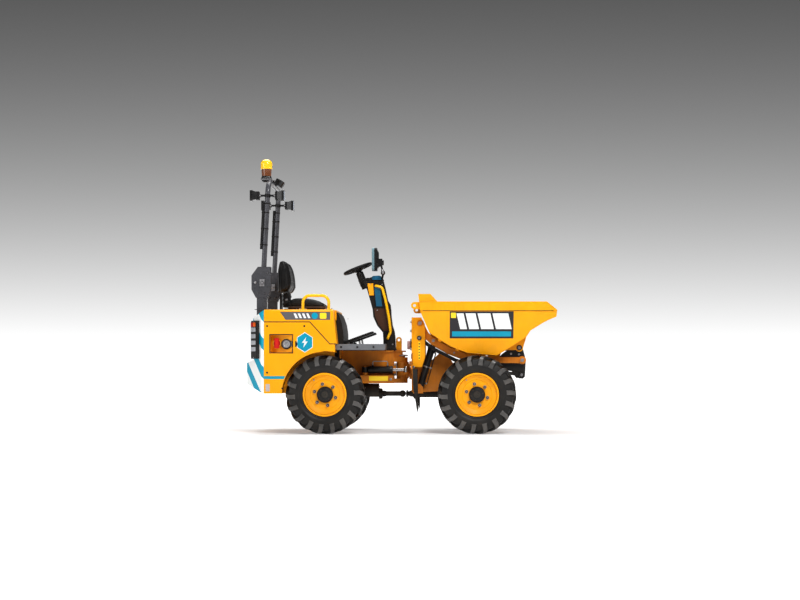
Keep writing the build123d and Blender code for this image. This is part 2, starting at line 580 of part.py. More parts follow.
BEACON_Y = -250
BEACON_X = hoop_top_x - 33
BEACON_LOW = HOOP_TOP + HOOP_R
dome = rod((BEACON_X, BEACON_Y, BEACON_LOW + 106), (BEACON_X, BEACON_Y, BEACON_LOW + 182), 48)
node("beacon", block(BEACON_X - 50, BEACON_X + 52, BEACON_Y - 45, BEACON_Y + 45,
                     BEACON_LOW + GAP, BEACON_LOW + 10)
     + rod((BEACON_X, BEACON_Y, BEACON_LOW + 10), (BEACON_X, BEACON_Y, BEACON_LOW + 96), 46)
     + rod((BEACON_X, BEACON_Y, BEACON_LOW + 96), (BEACON_X, BEACON_Y, BEACON_LOW + 106), 52)
     + fillet(dome.edges().group_by(Axis.Z)[-1], 28))

# ---------------------------------------------------------------- pivot block
block_low, block_high = BLOCK_Z - BLOCK_H / 2, BLOCK_Z + BLOCK_H / 2
pivot = rod((0, 0, block_low), (0, 0, block_high), 55)
pivot += block(0, 62, -45, 45, BLOCK_Z - 60, BLOCK_Z + 60)
pivot += rod((60, 0, BLOCK_Z), (FRONT_PLATE_X - GAP, 0, BLOCK_Z), 80)
pivot += rod((60, 0, BLOCK_Z), (222, 0, BLOCK_Z), TRUNNION_R)
pivot += rod((206 + GAP, 0, BLOCK_Z), (222, 0, BLOCK_Z), 54)
pivot += plan_plate([(5, -STEER_ARM), (5, STEER_ARM), (62, STEER_ARM), (62, -STEER_ARM)],
                    STEER_LUG - 16, STEER_LUG)
for y in (-STEER_ARM, STEER_ARM):
    pivot += rod((STEER_PIN_X, y, STEER_LUG - 16), (STEER_PIN_X, y, STEER_LUG), 28)
pivot -= rod((0, 0, block_low - 1), (0, 0, block_high + 1), KINGPIN_R + RUN)
node("pivot_block", pivot)


# ---------------------------------------------------------------- front frame
def front_chassis():
    """Welded front frame: rear plate, trunnion housing, side plates and brackets."""
    frame = block(FRONT_PLATE_X, 99, -MAST_OUT, MAST_OUT, 360, 700)
    frame -= block(FRONT_PLATE_X, 99, -70, 70, 359, 410)
    frame += rod((FRONT_PLATE_X, 0, BLOCK_Z), (206, 0, BLOCK_Z), 72)
    frame += block(99, 320, -WALL_OUT, WALL_OUT, DECK - PLATE, DECK)
    frame += block(868, 880, -WALL_OUT, WALL_OUT, 400, 470)
    side = side_plate([(99, 350), (99, DECK), (240, DECK), (330, 700), (400, 700), (450, 612),
                       (880, 560), (880, 400), (260, 360)], WALL_IN, WALL_OUT)
    side += pin(LIFT_BASE, 14, WALL_IN, LIFT_Y + 41)
    side += side_plate([(99, 345), (99, 430), (160, 430), (188, 400), (188, 345)], LIFT_Y + 31,
                       LIFT_Y + 39)
    side += block(FRONT_PLATE_X, 99, MAST_OUT - 1, 545, 560, 600)
    for wall in both(side):
        frame += wall
    frame -= rod((AXLE_X, -170, AXLE_Z), (AXLE_X, 170, AXLE_Z), AXLE_TUBE_R + GAP)
    frame -= rod((80, 0, BLOCK_Z), (210, 0, BLOCK_Z), TRUNNION_R + RUN)
    return frame


node("front_chassis", front_chassis())

mast_outline = [(99, 578), (FRONT_PLATE_X, 700), (FRONT_PLATE_X, MAST_TOP), (172, MAST_TOP), (205, 935),
                (205, 665), (178, 578)]


def mast():
    """Left mast: two plates with a rear web, bored for the arm and link pins."""
    post = block(FRONT_PLATE_X, 99, MAST_IN, MAST_OUT, 700, MAST_TOP)
    for y0 in (MAST_IN, MAST_OUT - PLATE):
        post += side_plate([(99, 578), (99, MAST_TOP)] + mast_outline[3:], y0, y0 + PLATE)
    post -= pin(P1, 30 + RUN, MAST_IN - 1, MAST_IN + PLATE + 1)
    post -= pin(P1, 20 + RUN, MAST_OUT - PLATE - 1, MAST_OUT + 1)
    return post - pin(P2, 12 + RUN, MAST_IN - 1, MAST_OUT + 1)


left_mast, right_mast = both(mast())
node("mast_left", left_mast)
node("mast_right", right_mast + block(FRONT_PLATE_X, 99, -MAST_IN - 1, -180, 736, 806))
node("horn", rod((50, -215, 771), (FRONT_PLATE_X - GAP, -215, 771), 35))

flap_outline = [(99 + GAP, 587), (107, 587), (116, 400), (147, 250), (147, 215), (140, 189), (107, 400)]
node("mud_flaps", *both(side_plate(flap_outline, 365, 545)))


# ---------------------------------------------------------------- lifting linkage
arm_points = [P1, (212, 862), (278, 797), (418, 720), (572, 662), (830, 640), Q1]


def lift_arm():
    """Both arms, joined by the torque tube through the masts."""
    arm = bent_bar(arm_points, 54, 35, ARM_IN, ARM_OUT)
    arm += pin(P1, 20, ARM_OUT - 1, MAST_OUT + 2) + pin(P1, 28, MAST_OUT + GAP, MAST_OUT + 9)
    arm += pin(ARM_EYE, 24, ARM_OUT - 1, ARM_OUT + 8)
    arm += pin(Q1, 16, MAST_IN - 4, ARM_IN + 1) + pin(Q1, 26, ARM_OUT - 1, ARM_OUT + 8)
    whole = pin(P1, 30, -ARM_IN - 1, ARM_IN + 1)
    for each in both(arm):
        whole += each
    return whole


node("lift_arm", lift_arm())

link_points = [P2, (285, 735), (470, 640), (700, 560), Q2]


def level_link():
    """Left levelling link with its own pins."""
    link = bent_bar(link_points, 28, 22, ARM_IN + 3, ARM_OUT - 3)
    link += pin(P2, 12, MAST_IN - 4, MAST_OUT + 2) + pin(P2, 20, MAST_OUT + GAP, MAST_OUT + 8)
    return link + pin(Q2, 12, MAST_IN - 4, ARM_IN + 4) + pin(Q2, 20, ARM_OUT - 4, ARM_OUT + 5)


node("level_links", *both(level_link()))


def lift_barrel():
    """Left lift cylinder barrel on its base pin."""
    top = along(LIFT_BASE, ARM_EYE, 400)
    low = along(LIFT_BASE, ARM_EYE, 18)
    barrel = rod((low[0], LIFT_Y, low[1]), (top[0], LIFT_Y, top[1]), 29)
    barrel += pin(LIFT_BASE, 26, LIFT_Y - 19, LIFT_Y + 19)
    deep = along(LIFT_BASE, ARM_EYE, 60)
    past = along(LIFT_BASE, ARM_EYE, 410)
    barrel -= rod((deep[0], LIFT_Y, deep[1]), (past[0], LIFT_Y, past[1]), 15 + RUN)
    return barrel - pin(LIFT_BASE, 14 + RUN, LIFT_Y - 30, LIFT_Y + 30)


def lift_rod():
    """Left lift cylinder rod with its eye and the pin that reaches the arm."""
    low = along(LIFT_BASE, ARM_EYE, 220)
    bar = rod((low[0], LIFT_Y, low[1]), (ARM_EYE[0], LIFT_Y, ARM_EYE[1]), 15)
    return bar + pin(ARM_EYE, 24, LIFT_Y - 20, LIFT_Y + 20) + pin(ARM_EYE, 14, LIFT_Y + 19, ARM_IN - GAP)


node("lift_barrels", *both(lift_barrel()))
node("lift_rods", *both(lift_rod()))


def carrier():
    """Skip carrier: two plates, hinge tube, cross beam and the cradle of the tipping cylinder."""
    plate = side_plate([(845, 560), (845, 640), (905, 700), (1004, 768), (1056, 768), (1090, 640),
                        (1082, 495), (1065, 476), (1030, 478), (990, 540)], MAST_IN, MAST_IN + PLATE)
    plate += pin(HINGE, 34, MAST_IN, MAST_IN + PLATE) + pin(HINGE, 16, MAST_IN, ARM_OUT + 4)
    plate += pin(HINGE, 24, ARM_OUT - 5 + GAP, ARM_OUT + 4)
    plate -= pin(Q1, 16 + RUN, MAST_IN - 1, MAST_IN + PLATE + 1)
    plate -= pin(Q2, 12 + RUN, MAST_IN - 1, MAST_IN + PLATE + 1)
    base_x, base_z = TIP_BASE
    cradle = side_plate([(base_x - 28, base_z - 24), (base_x - 28, base_z + 25), (base_x + 80, base_z + 100),
                         (840, 565), (906, 615), (906, 560), (860, 520), (base_x + 120, base_z + 70),
                         (base_x + 28, base_z - 24)], 45, 57)
    whole = pin(HINGE, 24, -MAST_IN - 1, MAST_IN + 1)
    whole += block(905, 985, -MAST_IN - 1, MAST_IN + 1, 560, 620)
    whole += pin(TIP_BASE, 12, -50, 50)
    for each in both(plate) + both(cradle):
        whole += each
    return whole


node("carrier", carrier())


def tip_cylinder():
    """Barrel and rod of the tipping cylinder under the skip."""
    length = math.dist(TIP_BASE, TIP_EYE)
    spots = [along(TIP_BASE, TIP_EYE, d) for d in (14, length - 69, 60, length - 59, 170, length)]
    low, top, deep, past, inside, eye = [(x, 0, z) for x, z in spots]
    barrel = rod(low, top, 27) + pin(TIP_BASE, 20, -40, 40)
    barrel -= rod(deep, past, 14 + RUN)
    barrel -= pin(TIP_BASE, 12 + RUN, -41, 41)
    bar = rod(inside, eye, 14) + pin(TIP_EYE, 20, -23, 23)
    return barrel, bar


tip_barrel, tip_rod = tip_cylinder()
node("tip_barrel", tip_barrel)
node("tip_rod", tip_rod)

# ---------------------------------------------------------------- skip
skip_under = [(164, SKIP_RIM_LOW - 4), (230, 912), (253, 870), (418, 762), (572, 701), (830, 679), (898, 721),
              (1082, 840), (1115, 893), (1254, 979), (REACH - 4, SKIP_RIM_LOW - 52), (REACH, SKIP_RIM_LOW - 1)]
skip_over = [(REACH - 86, SKIP_RIM), (314, SKIP_RIM), (253, SKIP_RIM + 67), (149, SKIP_RIM + 67)]


def skip_section(half_top, half_floor, floor_z):
    """Cross-section of the skip, (y, z), tall enough to clear its top."""
    return [(-half_floor, floor_z), (half_floor, floor_z), (half_top, SKIP_RIM_LOW), (half_top, 1400),
            (-half_top, 1400), (-half_top, SKIP_RIM_LOW)]


def inset(points, wall):
    """Closed outline moved inwards by an even wall; the points run anticlockwise."""
    moved = []
    count = len(points)
    for i in range(count):
        (x0, z0), (x1, z1), (x2, z2) = points[i - 1], points[i], points[(i + 1) % count]
        a = (z0 - z1, x1 - x0)
        b = (z1 - z2, x2 - x1)
        a = [value / math.hypot(*a) for value in a]
        b = [value / math.hypot(*b) for value in b]
        scale = wall / (1 + a[0] * b[0] + a[1] * b[1])
        moved.append((x1 + (a[0] + b[0]) * scale, z1 + (a[1] + b[1]) * scale))
    return moved


def skip_cavity():
    """Space inside the skip, open upwards."""
    space = side_plate(inset(skip_under + [(REACH, 1400), (129, 1400)], SKIP_WALL), -600, 600)
    section = skip_section(SKIP_HALF - SKIP_WALL, SKIP_FLOOR_HALF - SKIP_WALL, 679)
    return space & front_plate(section, 0, 1500)


def skip():
    """Open steel skip with its rim band, hinge brackets, ears and cylinder lugs."""
    shell = side_plate(skip_under + skip_over, -600, 600)
    shell &= front_plate(skip_section(SKIP_HALF, SKIP_FLOOR_HALF, 679), 0, 1500)
    band_half = SKIP_HALF + RIM_PROUD
    shell += side_plate([(164, SKIP_RIM_LOW), (REACH, SKIP_RIM_LOW), (REACH - 86, SKIP_RIM), (156, SKIP_RIM)],
                        -band_half, band_half)
    bracket = side_plate([(922, 739), (1080, 841), (1093, 843), (1071, 771), (1064, 747), (1000, 727),
                          (925, 727)], ARM_IN + 3, ARM_OUT - 5)
    bracket += pin(HINGE, 34, ARM_IN + 3, ARM_OUT - 5)
    bracket -= pin(HINGE, 16 + RUN, ARM_IN, ARM_OUT)
    lug = side_plate([(760, 687), (830, 682), (885, 716), (855, 632), (820, 620), (785, 632)], 27, 38)
    ear = side_plate([(116, 1078), (164, 1078), (164, 1138), (116, 1138)], 490, 502)
    ear += pin((116, 1108), 30, 490, 502)
    ear -= pin((116, 1108), 13, 489, 503)
    for each in both(bracket) + both(lug) + both(ear):
        shell += each
    return shell - skip_cavity()


node("skip", skip())

# ---------------------------------------------------------------- export
os.makedirs("parts", exist_ok=True)
for name, shape in parts.items():
    export_step(shape, f"parts/{name}.step")
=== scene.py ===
from math import cos, exp, pi, radians, sin, sqrt, tan

import bmesh
import bpy
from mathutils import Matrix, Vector


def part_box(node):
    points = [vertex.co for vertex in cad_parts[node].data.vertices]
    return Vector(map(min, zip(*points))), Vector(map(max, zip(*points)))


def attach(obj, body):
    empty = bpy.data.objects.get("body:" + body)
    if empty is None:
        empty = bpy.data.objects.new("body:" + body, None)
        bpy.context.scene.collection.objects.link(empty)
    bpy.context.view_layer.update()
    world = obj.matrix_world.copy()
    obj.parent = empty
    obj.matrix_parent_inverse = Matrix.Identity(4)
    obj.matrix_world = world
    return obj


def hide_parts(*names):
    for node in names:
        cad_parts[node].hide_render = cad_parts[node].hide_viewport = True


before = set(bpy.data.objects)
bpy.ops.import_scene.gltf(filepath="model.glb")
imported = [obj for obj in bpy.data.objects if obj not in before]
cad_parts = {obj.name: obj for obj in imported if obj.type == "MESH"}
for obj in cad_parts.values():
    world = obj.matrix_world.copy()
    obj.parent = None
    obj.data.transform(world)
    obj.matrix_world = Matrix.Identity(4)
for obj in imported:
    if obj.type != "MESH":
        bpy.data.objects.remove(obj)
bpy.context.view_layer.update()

# ---------------------------------------------------------------- camera
scene = bpy.context.scene
LENS, SENSOR = 62.7, 36.0
camera = bpy.data.objects.new("camera", bpy.data.cameras.new("camera"))
scene.collection.objects.link(camera)
camera.location = (0.362, -12.5, 0.587)
camera.rotation_euler = (radians(90), 0, 0)
camera.data.lens, camera.data.sensor_width = LENS, SENSOR
camera.data.shift_x, camera.data.shift_y = -0.0538, 0.0825
camera.data.clip_end = 100
scene.camera = camera


def vec(*numbers):
    return Vector(numbers)


X, Y, Z = vec(1, 0, 0), vec(0, 1, 0), vec(0, 0, 1)


# ---------------------------------------------------------------- finishes
class Graph:
    """Node tree of a new material. Inputs are numbers, colours or the outputs of other nodes."""

    def __init__(self, name):
        self.material = bpy.data.materials.new(name)
        self.material.use_nodes = True
        self.tree = self.material.node_tree
        self.shader = self.tree.nodes["Principled BSDF"]
        self.place = self.add("TexCoord", out="Object")

    @property
    def height(self):
        return self.split(self.place, "Z")

    def set(self, inputs, node=None):
        """Sets or links inputs, the shader's if no node is named."""
        for key, value in inputs.items():
            socket = (node or self.shader).inputs[key]
            if isinstance(value, bpy.types.NodeSocket):
                self.tree.links.new(value, socket)
            else:
                socket.default_value = value

    def add(self, kind, inputs=None, out=0, **settings):
        """Adds a node and gives its output."""
        node = self.tree.nodes.new("ShaderNode" + kind)
        for key, value in settings.items():
            setattr(node, key, value)
        self.set(inputs or {}, node)
        return node.outputs[out]

    def split(self, vector, axis):
        return self.add("SeparateXYZ", {0: vector}, axis)

    def noise(self, scale, detail=4.0, place=None):
        """Fractal noise, scale in bumps per metre."""
        return self.add("TexNoise", {"Vector": place or self.place, "Scale": scale, "Detail": detail}, "Fac")

    def spread(self, value, low, high, to_low=0.0, to_high=1.0):
        """Value mapped from low..high to to_low..to_high, clamped."""
        return self.add("MapRange", {0: value, 1: low, 2: high, 3: to_low, 4: to_high})

    def sum(self, operation, a, b=0.0):
        return self.add("Math", {0: a, 1: b}, operation=operation)

    def vectors(self, operation, a, b, out=0):
        return self.add("VectorMath", {0: a, 1: b}, out, operation=operation)

    def blend(self, factor, a, b):
        """Colour a turned into colour b by factor."""
        return self.add("Mix", {0: factor, 6: a, 7: b}, 2, data_type="RGBA")

    def away(self, a, b):
        """Distance from the origin of two coordinates."""
        squares = self.sum("MULTIPLY", a, a), self.sum("MULTIPLY", b, b)
        return self.sum("SQRT", self.sum("ADD", *squares))


def rgb(red, green, blue):
    """Linear colour from the 0-255 values of a display colour."""
    return tuple(((c / 255 + 0.055) / 1.055) ** 2.4 if c > 10 else c / 255 / 12.92
                 for c in (red, green, blue)) + (1.0,)


def shade(colour, factor):
    return tuple(min(1.0, c * factor) for c in colour[:3]) + (1.0,)


DUST, BARE, AMBER, LEMON = rgb(132, 124, 112), rgb(92, 84, 78), rgb(246, 168, 0), rgb(246, 190, 4)
TEAL, WHITE, GREY, BLACK = rgb(0, 152, 180), rgb(236, 238, 236), rgb(98, 96, 98), rgb(26, 26, 28)
GREY_TEAL, INK, SOOT = rgb(104, 130, 138), rgb(24, 23, 24), rgb(22, 22, 24)


def finish(name, colour, rough, metallic=0.0, coat=0.0, tone=0.12, dust=0.0, chips=0.0, chip=BARE, edge=0.003,
           grain=900.0, depth=0.0002, cells=0.0, streaks=0.0, dust_top=1.0, shine=0.24, paint=None):
    """Procedural finish: uneven tone, dust that thins with height, worn edges and a fine grain.

    cells above 0 gives a leathery or moulded grain of that many cells per metre; paint(graph, colour)
    lays a pattern over the base colour."""
    g = Graph(name)
    g.set({"Metallic": metallic, "Coat Weight": coat, "Coat Roughness": 0.12, "Specular IOR Level": shine})
    base = g.blend(g.spread(g.noise(3.1), 0.36, 0.64), shade(colour, 1 - tone), shade(colour, 1 + tone / 3))
    if paint:
        base = paint(g, base)
    if streaks:
        long = g.add("Mapping", {"Vector": g.place, "Scale": (34.0, 34.0, 2.2)})
        base = g.blend(g.spread(g.noise(1.0, place=long), 0.5, 0.72, 0.0, streaks), base, shade(colour, 0.55))
    soft = g.add("Bevel", {"Radius": edge}, samples=4)
    rough_now = g.spread(g.noise(26.0), 0.3, 0.7, rough - 0.06, rough + 0.06)
    if dust:
        lay = g.sum("MULTIPLY", g.spread(g.noise(8.0, 7.0), 0.38, 0.68, dust * 0.3, dust),
                    g.spread(g.height, 0.15, dust_top, 1.0, 0.25))
        base = g.blend(lay, base, DUST)
        rough_now = g.sum("ADD", rough_now, g.sum("MULTIPLY", lay, 0.4))
    if chips:
        turn = g.vectors("DOT_PRODUCT", soft, g.add("NewGeometry", out="Normal"), "Value")
        patches = g.spread(g.noise(75.0, 6.0), 0.53, 0.6, 0.0, chips)
        base = g.blend(g.sum("MULTIPLY", g.spread(turn, 0.985, 0.9), patches), base, chip)
    if cells:
        relief = g.add("TexVoronoi", {"Vector": g.place, "Scale": cells}, "Distance", feature="SMOOTH_F1")
    else:
        relief = g.noise(grain)
    bump = g.add("Bump", {"Height": relief, "Distance": depth, "Strength": 0.5, "Normal": soft})
    g.set({"Base Color": base, "Roughness": rough_now, "Normal": bump})
    return g.material


def chevrons(g, base):
    """White and teal bands that wrap the corners, leaving the middle in the body colour."""
    side = g.sum("ABSOLUTE", g.split(g.place, "Y"))
    slope = g.sum("ADD", g.sum("ADD", g.split(g.place, "X"), side), g.height)
    band = g.sum("FRACT", g.sum("MULTIPLY", g.sum("SUBTRACT", slope, CHEVRON_START), 1 / CHEVRON_PITCH))
    striped = g.blend(g.sum("LESS_THAN", band, CHEVRON_TEAL), WHITE, TEAL)
    return g.blend(g.sum("GREATER_THAN", side, CHEVRON_Y), base, striped)


def hub_centre(g, base):
    """Black turning hub inside the amber rim: everything within the disc's bore."""
    along = g.sum("SUBTRACT", g.sum("ABSOLUTE", g.split(g.place, "X")), AXLE_X)
    radius = g.away(along, g.sum("SUBTRACT", g.height, AXLE_Z))
    return g.blend(g.sum("LESS_THAN", radius, HUB_R), base, BLACK)


def two_tone(g, base):
    """Grey-teal rear half of the mirror's housing."""
    return g.blend(g.sum("LESS_THAN", g.split(g.place, "X"), MIRROR_SPLIT), base, GREY_TEAL)


def worn_inside(g, base):
    """Load space scuffed down to dull, stained metal, most of all on its floor."""
    inward = g.vectors("SUBTRACT", g.place, LOAD_CENTRE)
    facing = g.vectors("DOT_PRODUCT", inward, g.add("NewGeometry", out="Normal"), "Value")
    scuff = g.sum("ADD", g.noise(7.0, 8.0), g.spread(g.height, 0.7, 1.15, 0.22, -0.12))
    inside = g.sum("MULTIPLY", g.sum("LESS_THAN", facing, 0.0), g.spread(scuff, 0.42, 0.78, 0.0, 0.9))
    stain = g.blend(g.spread(g.noise(24.0, 6.0), 0.4, 0.6), rgb(96, 70, 46), rgb(142, 124, 104))
    return g.blend(inside, base, stain)


CHEVRON_PITCH, CHEVRON_START, CHEVRON_TEAL, CHEVRON_Y = 0.245, -0.1775, 0.41, 0.33
MIRROR_SPLIT, LOAD_CENTRE, HUB_R = -0.244, (0.66, 0.0, 1.02), 0.0698
tyre_low, tyre_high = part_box("tyre_front_left")
AXLE_X = (tyre_low.x + tyre_high.x) / 2
AXLE_Z = (tyre_low.z + tyre_high.z) / 2
TYRE_R = (tyre_high.z - tyre_low.z) / 2
WHEEL_Y = (tyre_low.y + tyre_high.y) / 2

paint = finish("amber_paint", AMBER, 0.38, coat=0.08, tone=0.10, dust=0.06, chips=0.7, streaks=0.10,
               grain=260, depth=0.00025)
# The body's amber darkened into a painted shade, for the frames, arms and pivot under the body and skip; its
# dust, chips and streaks are real dirt and wear.
amber_painted_shade = finish("chassis_amber_painted_shade", rgb(206, 124, 6), 0.48, coat=0.05, tone=0.35, dust=0.22, chips=0.9,
                   streaks=0.35, grain=300, depth=0.0004)
skip_paint = finish("skip_paint", AMBER, 0.4, coat=0.05, tone=0.10, dust=0.08, chips=0.8, streaks=0.12,
                    grain=240, depth=0.0003, dust_top=1.3, paint=worn_inside)
housing = finish("amber_housing", AMBER, 0.36, coat=0.1, tone=0.07, dust=0.05, chips=0.25, grain=420,
                 depth=0.00015, edge=0.006)
lemon = finish("lemon_paint", LEMON, 0.3, coat=0.5, tone=0.08, dust=0.08, chips=0.5)
rim_paint = finish("rim_paint", AMBER, 0.4, coat=0.08, tone=0.12, dust=0.08, chips=0.5, paint=hub_centre)
counter_paint = finish("chevron_paint", AMBER, 0.36, coat=0.2, tone=0.06, dust=0.12, chips=0.4,
                       paint=chevrons, edge=0.006)
plastic = finish("black_plastic", INK, 0.55, tone=0.2, dust=0.10, cells=900, depth=0.0003, edge=0.004,
                 dust_top=1.6)
tower_skin = finish("tower_plastic", rgb(24, 21, 20), 0.5, tone=0.25, dust=0.10, cells=700, depth=0.0004,
                    edge=0.012, dust_top=1.6)
steel = finish("black_steel", INK, 0.4, coat=0.1, tone=0.2, dust=0.10, chips=0.8, chip=rgb(120, 112, 104),
               dust_top=1.2)
# The hoop's grey is lighter than its dark steel: a painted highlight along the legs; its chips and dust are
# real wear.
hoop_grey_painted_highlight = finish("hoop_grey_painted_highlight", rgb(74, 74, 78), 0.28, coat=0.4, tone=0.25, dust=0.05, chips=0.6,
                    chip=rgb(140, 134, 126), dust_top=2.6)
cast = finish("cast_black", rgb(26, 24, 23), 0.6, tone=0.3, dust=0.25, grain=420, depth=0.0012, chips=0.3)
floor_steel = finish("floor_grey", rgb(118, 120, 124), 0.55, metallic=0.3, tone=0.2, dust=0.2, chips=0.4,
                     cells=110, depth=0.0015)
chrome = finish("polished_rod", rgb(168, 164, 162), 0.22, metallic=1.0, tone=0.05, grain=1500, depth=0.00003)
zinc = finish("zinc_steel", rgb(158, 156, 158), 0.36, metallic=0.9, tone=0.12, dust=0.1, grain=800)
rubber = finish("tyre_rubber", rgb(17, 15, 14), 0.5, tone=0.4, dust=0.06, grain=300, depth=0.0009, edge=0.004,
                dust_top=9.0, shine=0.4)
# Lug tops in a lighter grey than the rubber: a painted highlight of the overhead light, with real dust over
# it.
tread = finish("tyre_lug_tops_painted_highlight", rgb(68, 66, 65), 0.32, tone=0.7, dust=0.2, grain=160, depth=0.0016,
               edge=0.005, dust_top=9.0, shine=0.7)
flap_rubber = finish("flap_rubber", rgb(22, 21, 21), 0.7, tone=0.3, dust=0.15, grain=300, depth=0.0006)
vinyl = finish("seat_vinyl", rgb(23, 23, 24), 0.42, tone=0.2, dust=0.06, cells=620, depth=0.0006, edge=0.006,
               dust_top=2.0)
glass = finish("lamp_glass", rgb(168, 182, 200), 0.08, tone=0.1, coat=1.0)
lamp_black = finish("lamp_black", SOOT, 0.3, coat=0.4, tone=0.15, dust=0.1, dust_top=2.6)
red_lens = finish("red_lens", rgb(190, 26, 20), 0.15, coat=0.8, tone=0.2)
orange_lens = finish("orange_lens", rgb(236, 104, 16), 0.15, coat=0.8, tone=0.15)
grey_lens = finish("grey_lens", rgb(176, 178, 182), 0.16, coat=0.8, tone=0.15)
amber_dome = finish("amber_dome", rgb(250, 200, 40), 0.12, coat=0.8, tone=0.15)
amber_base = finish("amber_base", rgb(112, 66, 38), 0.14, coat=0.8, tone=0.3)
seat_shell = finish("seat_shell", rgb(62, 44, 34), 0.5, tone=0.3, dust=0.25, cells=800, depth=0.0003,
                    dust_top=2.0)
red_key = finish("red_plastic", rgb(206, 34, 28), 0.35, tone=0.1, dust=0.1)
teal_film = finish("teal_film", TEAL, 0.35, tone=0.06, dust=0.1)
white_film = finish("white_film", WHITE, 0.35, tone=0.05, dust=0.12)
pale_film = finish("pale_film", rgb(196, 186, 186), 0.4, tone=0.12, dust=0.2)
grey_film = finish("grey_film", GREY, 0.4, tone=0.08, dust=0.1)
yellow_film = finish("yellow_film", rgb(252, 214, 50), 0.35, tone=0.06, dust=0.1)
tower_teal = finish("tower_teal", rgb(14, 92, 124), 0.4, tone=0.15, dust=0.08, cells=700, depth=0.0003,
                    dust_top=1.6)
brown_skin = finish("tower_lower", rgb(74, 42, 24), 0.5, tone=0.3, dust=0.15, cells=700, depth=0.0004,
                    dust_top=1.6)
grey_teal = finish("grey_teal", GREY_TEAL, 0.4, tone=0.1)
mirror_shell = finish("mirror_shell", INK, 0.5, tone=0.2, cells=900, depth=0.0003, edge=0.004, paint=two_tone)
mirror_face = finish("mirror_face", rgb(150, 170, 176), 0.05, metallic=1.0, tone=0.04, grain=1500,
                     depth=0.00001)
pinkish = finish("pinkish_plastic", rgb(172, 140, 138), 0.4, tone=0.15, dust=0.1)
panel_film = finish("panel_film", rgb(52, 50, 54), 0.4, tone=0.1, dust=0.06)
bright_ring = finish("bright_ring", rgb(206, 204, 206), 0.3, metallic=0.3, tone=0.1, grain=900, shine=0.5)
dark_film = finish("dark_film", rgb(52, 42, 38), 0.5, tone=0.2, dust=0.2)

NODE_FINISH = {
    # frames, arms and pivot take the amber darkened into a painted shade
    amber_painted_shade: "rear_chassis front_chassis lift_arm pivot_block",
    paint: "mast_left mast_right lifting_eye",
    skip_paint: "skip",
    hoop_grey_painted_highlight: "rops_hoop rops_posts",
    counter_paint: "counterweight",
    housing: "body_side_left body_side_right body_deck",
    lemon: "hand_rail tower_handles",
    tower_skin: "steering_tower",
    plastic: "steering_column steering_wheel seat_front_panel battery_pack horn",
    steel: "pedals level_links carrier lift_barrels tip_barrel steer_barrels seat_base",
    zinc: "charge_socket",
    cast: "front_axle rear_axle drive_motor prop_shaft_front prop_shaft_rear",
    floor_steel: "floor_plate",
    chrome: "lift_rods tip_rod steer_rod_left steer_rod_right",
    flap_rubber: "mud_flaps",
    vinyl: "seat_cushion seat_backrest",
    lamp_black: "tail_lamps work_lamps beacon",
    red_key: "isolator_switch",
    mirror_shell: "mirror",
}
NODE_FINISH = {name: look for look, names in NODE_FINISH.items() for name in names.split()}
for name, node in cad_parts.items():
    node.data.materials.clear()
    node.data.materials.append(NODE_FINISH.get(name, rubber if name.startswith("tyre") else rim_paint))


# ---------------------------------------------------------------- mesh building
def frame_of(axis):
    """A direction, and two more square to it."""
    axis = Vector(axis).normalized()
    side = axis.orthogonal().normalized() if abs(axis.y) < 0.999 else X
    return axis, side, axis.cross(side)


def rays(count, start=0.0, across=X, up=Z):
    """Directions of so many spokes, from an angle in degrees."""
    for k in range(count):
        turn = radians(start + 360 * k / count)
        yield across * cos(turn) + up * sin(turn)


def joined(rings, count, closed=False):
    """Faces between rings of count points each."""
    loops = []
    for i in range(rings if closed else rings - 1):
        low, high = count * i, count * ((i + 1) % rings)
        loops += [(low + k, low + (k + 1) % count, high + (k + 1) % count, high + k) for k in range(count)]
    return loops


def rect(x0, x1, z0, z1):
    return [(x0, z0), (x1, z0), (x1, z1), (x0, z1)]


def arc(centre, radius, low, high, steps):
    """Points of an arc, angles in degrees."""
    angles = [radians(low + (high - low) * i / steps) for i in range(steps + 1)]
    return [(centre[0] + radius * cos(a), centre[1] + radius * sin(a)) for a in angles]


def rounded(x0, x1, z0, z1, r, steps=5):
    """Rectangle outline with round corners of radius r."""
    corners = (x1 - r, z1 - r), (x0 + r, z1 - r), (x0 + r, z0 + r), (x1 - r, z0 + r)
    return [p for i, corner in enumerate(corners) for p in arc(corner, r, 90 * i, 90 * i + 90, steps)]


def curve(points, steps=8):
    """Smooth path through points."""
    points = [Vector(p) for p in points]
    ends = [points[0] * 2 - points[1]] + points + [points[-1] * 2 - points[-2]]
    path = []
    for a, b, c, d in zip(ends, ends[1:], ends[2:], ends[3:]):
        for t in (k / steps for k in range(steps)):
            bend, twist = a * 2 - b * 5 + c * 4 - d, b * 3 - a - c * 3 + d
            path.append((b * 2 + (c - a) * t + bend * t * t + twist * t ** 3) / 2)
    return path + [points[-1]]


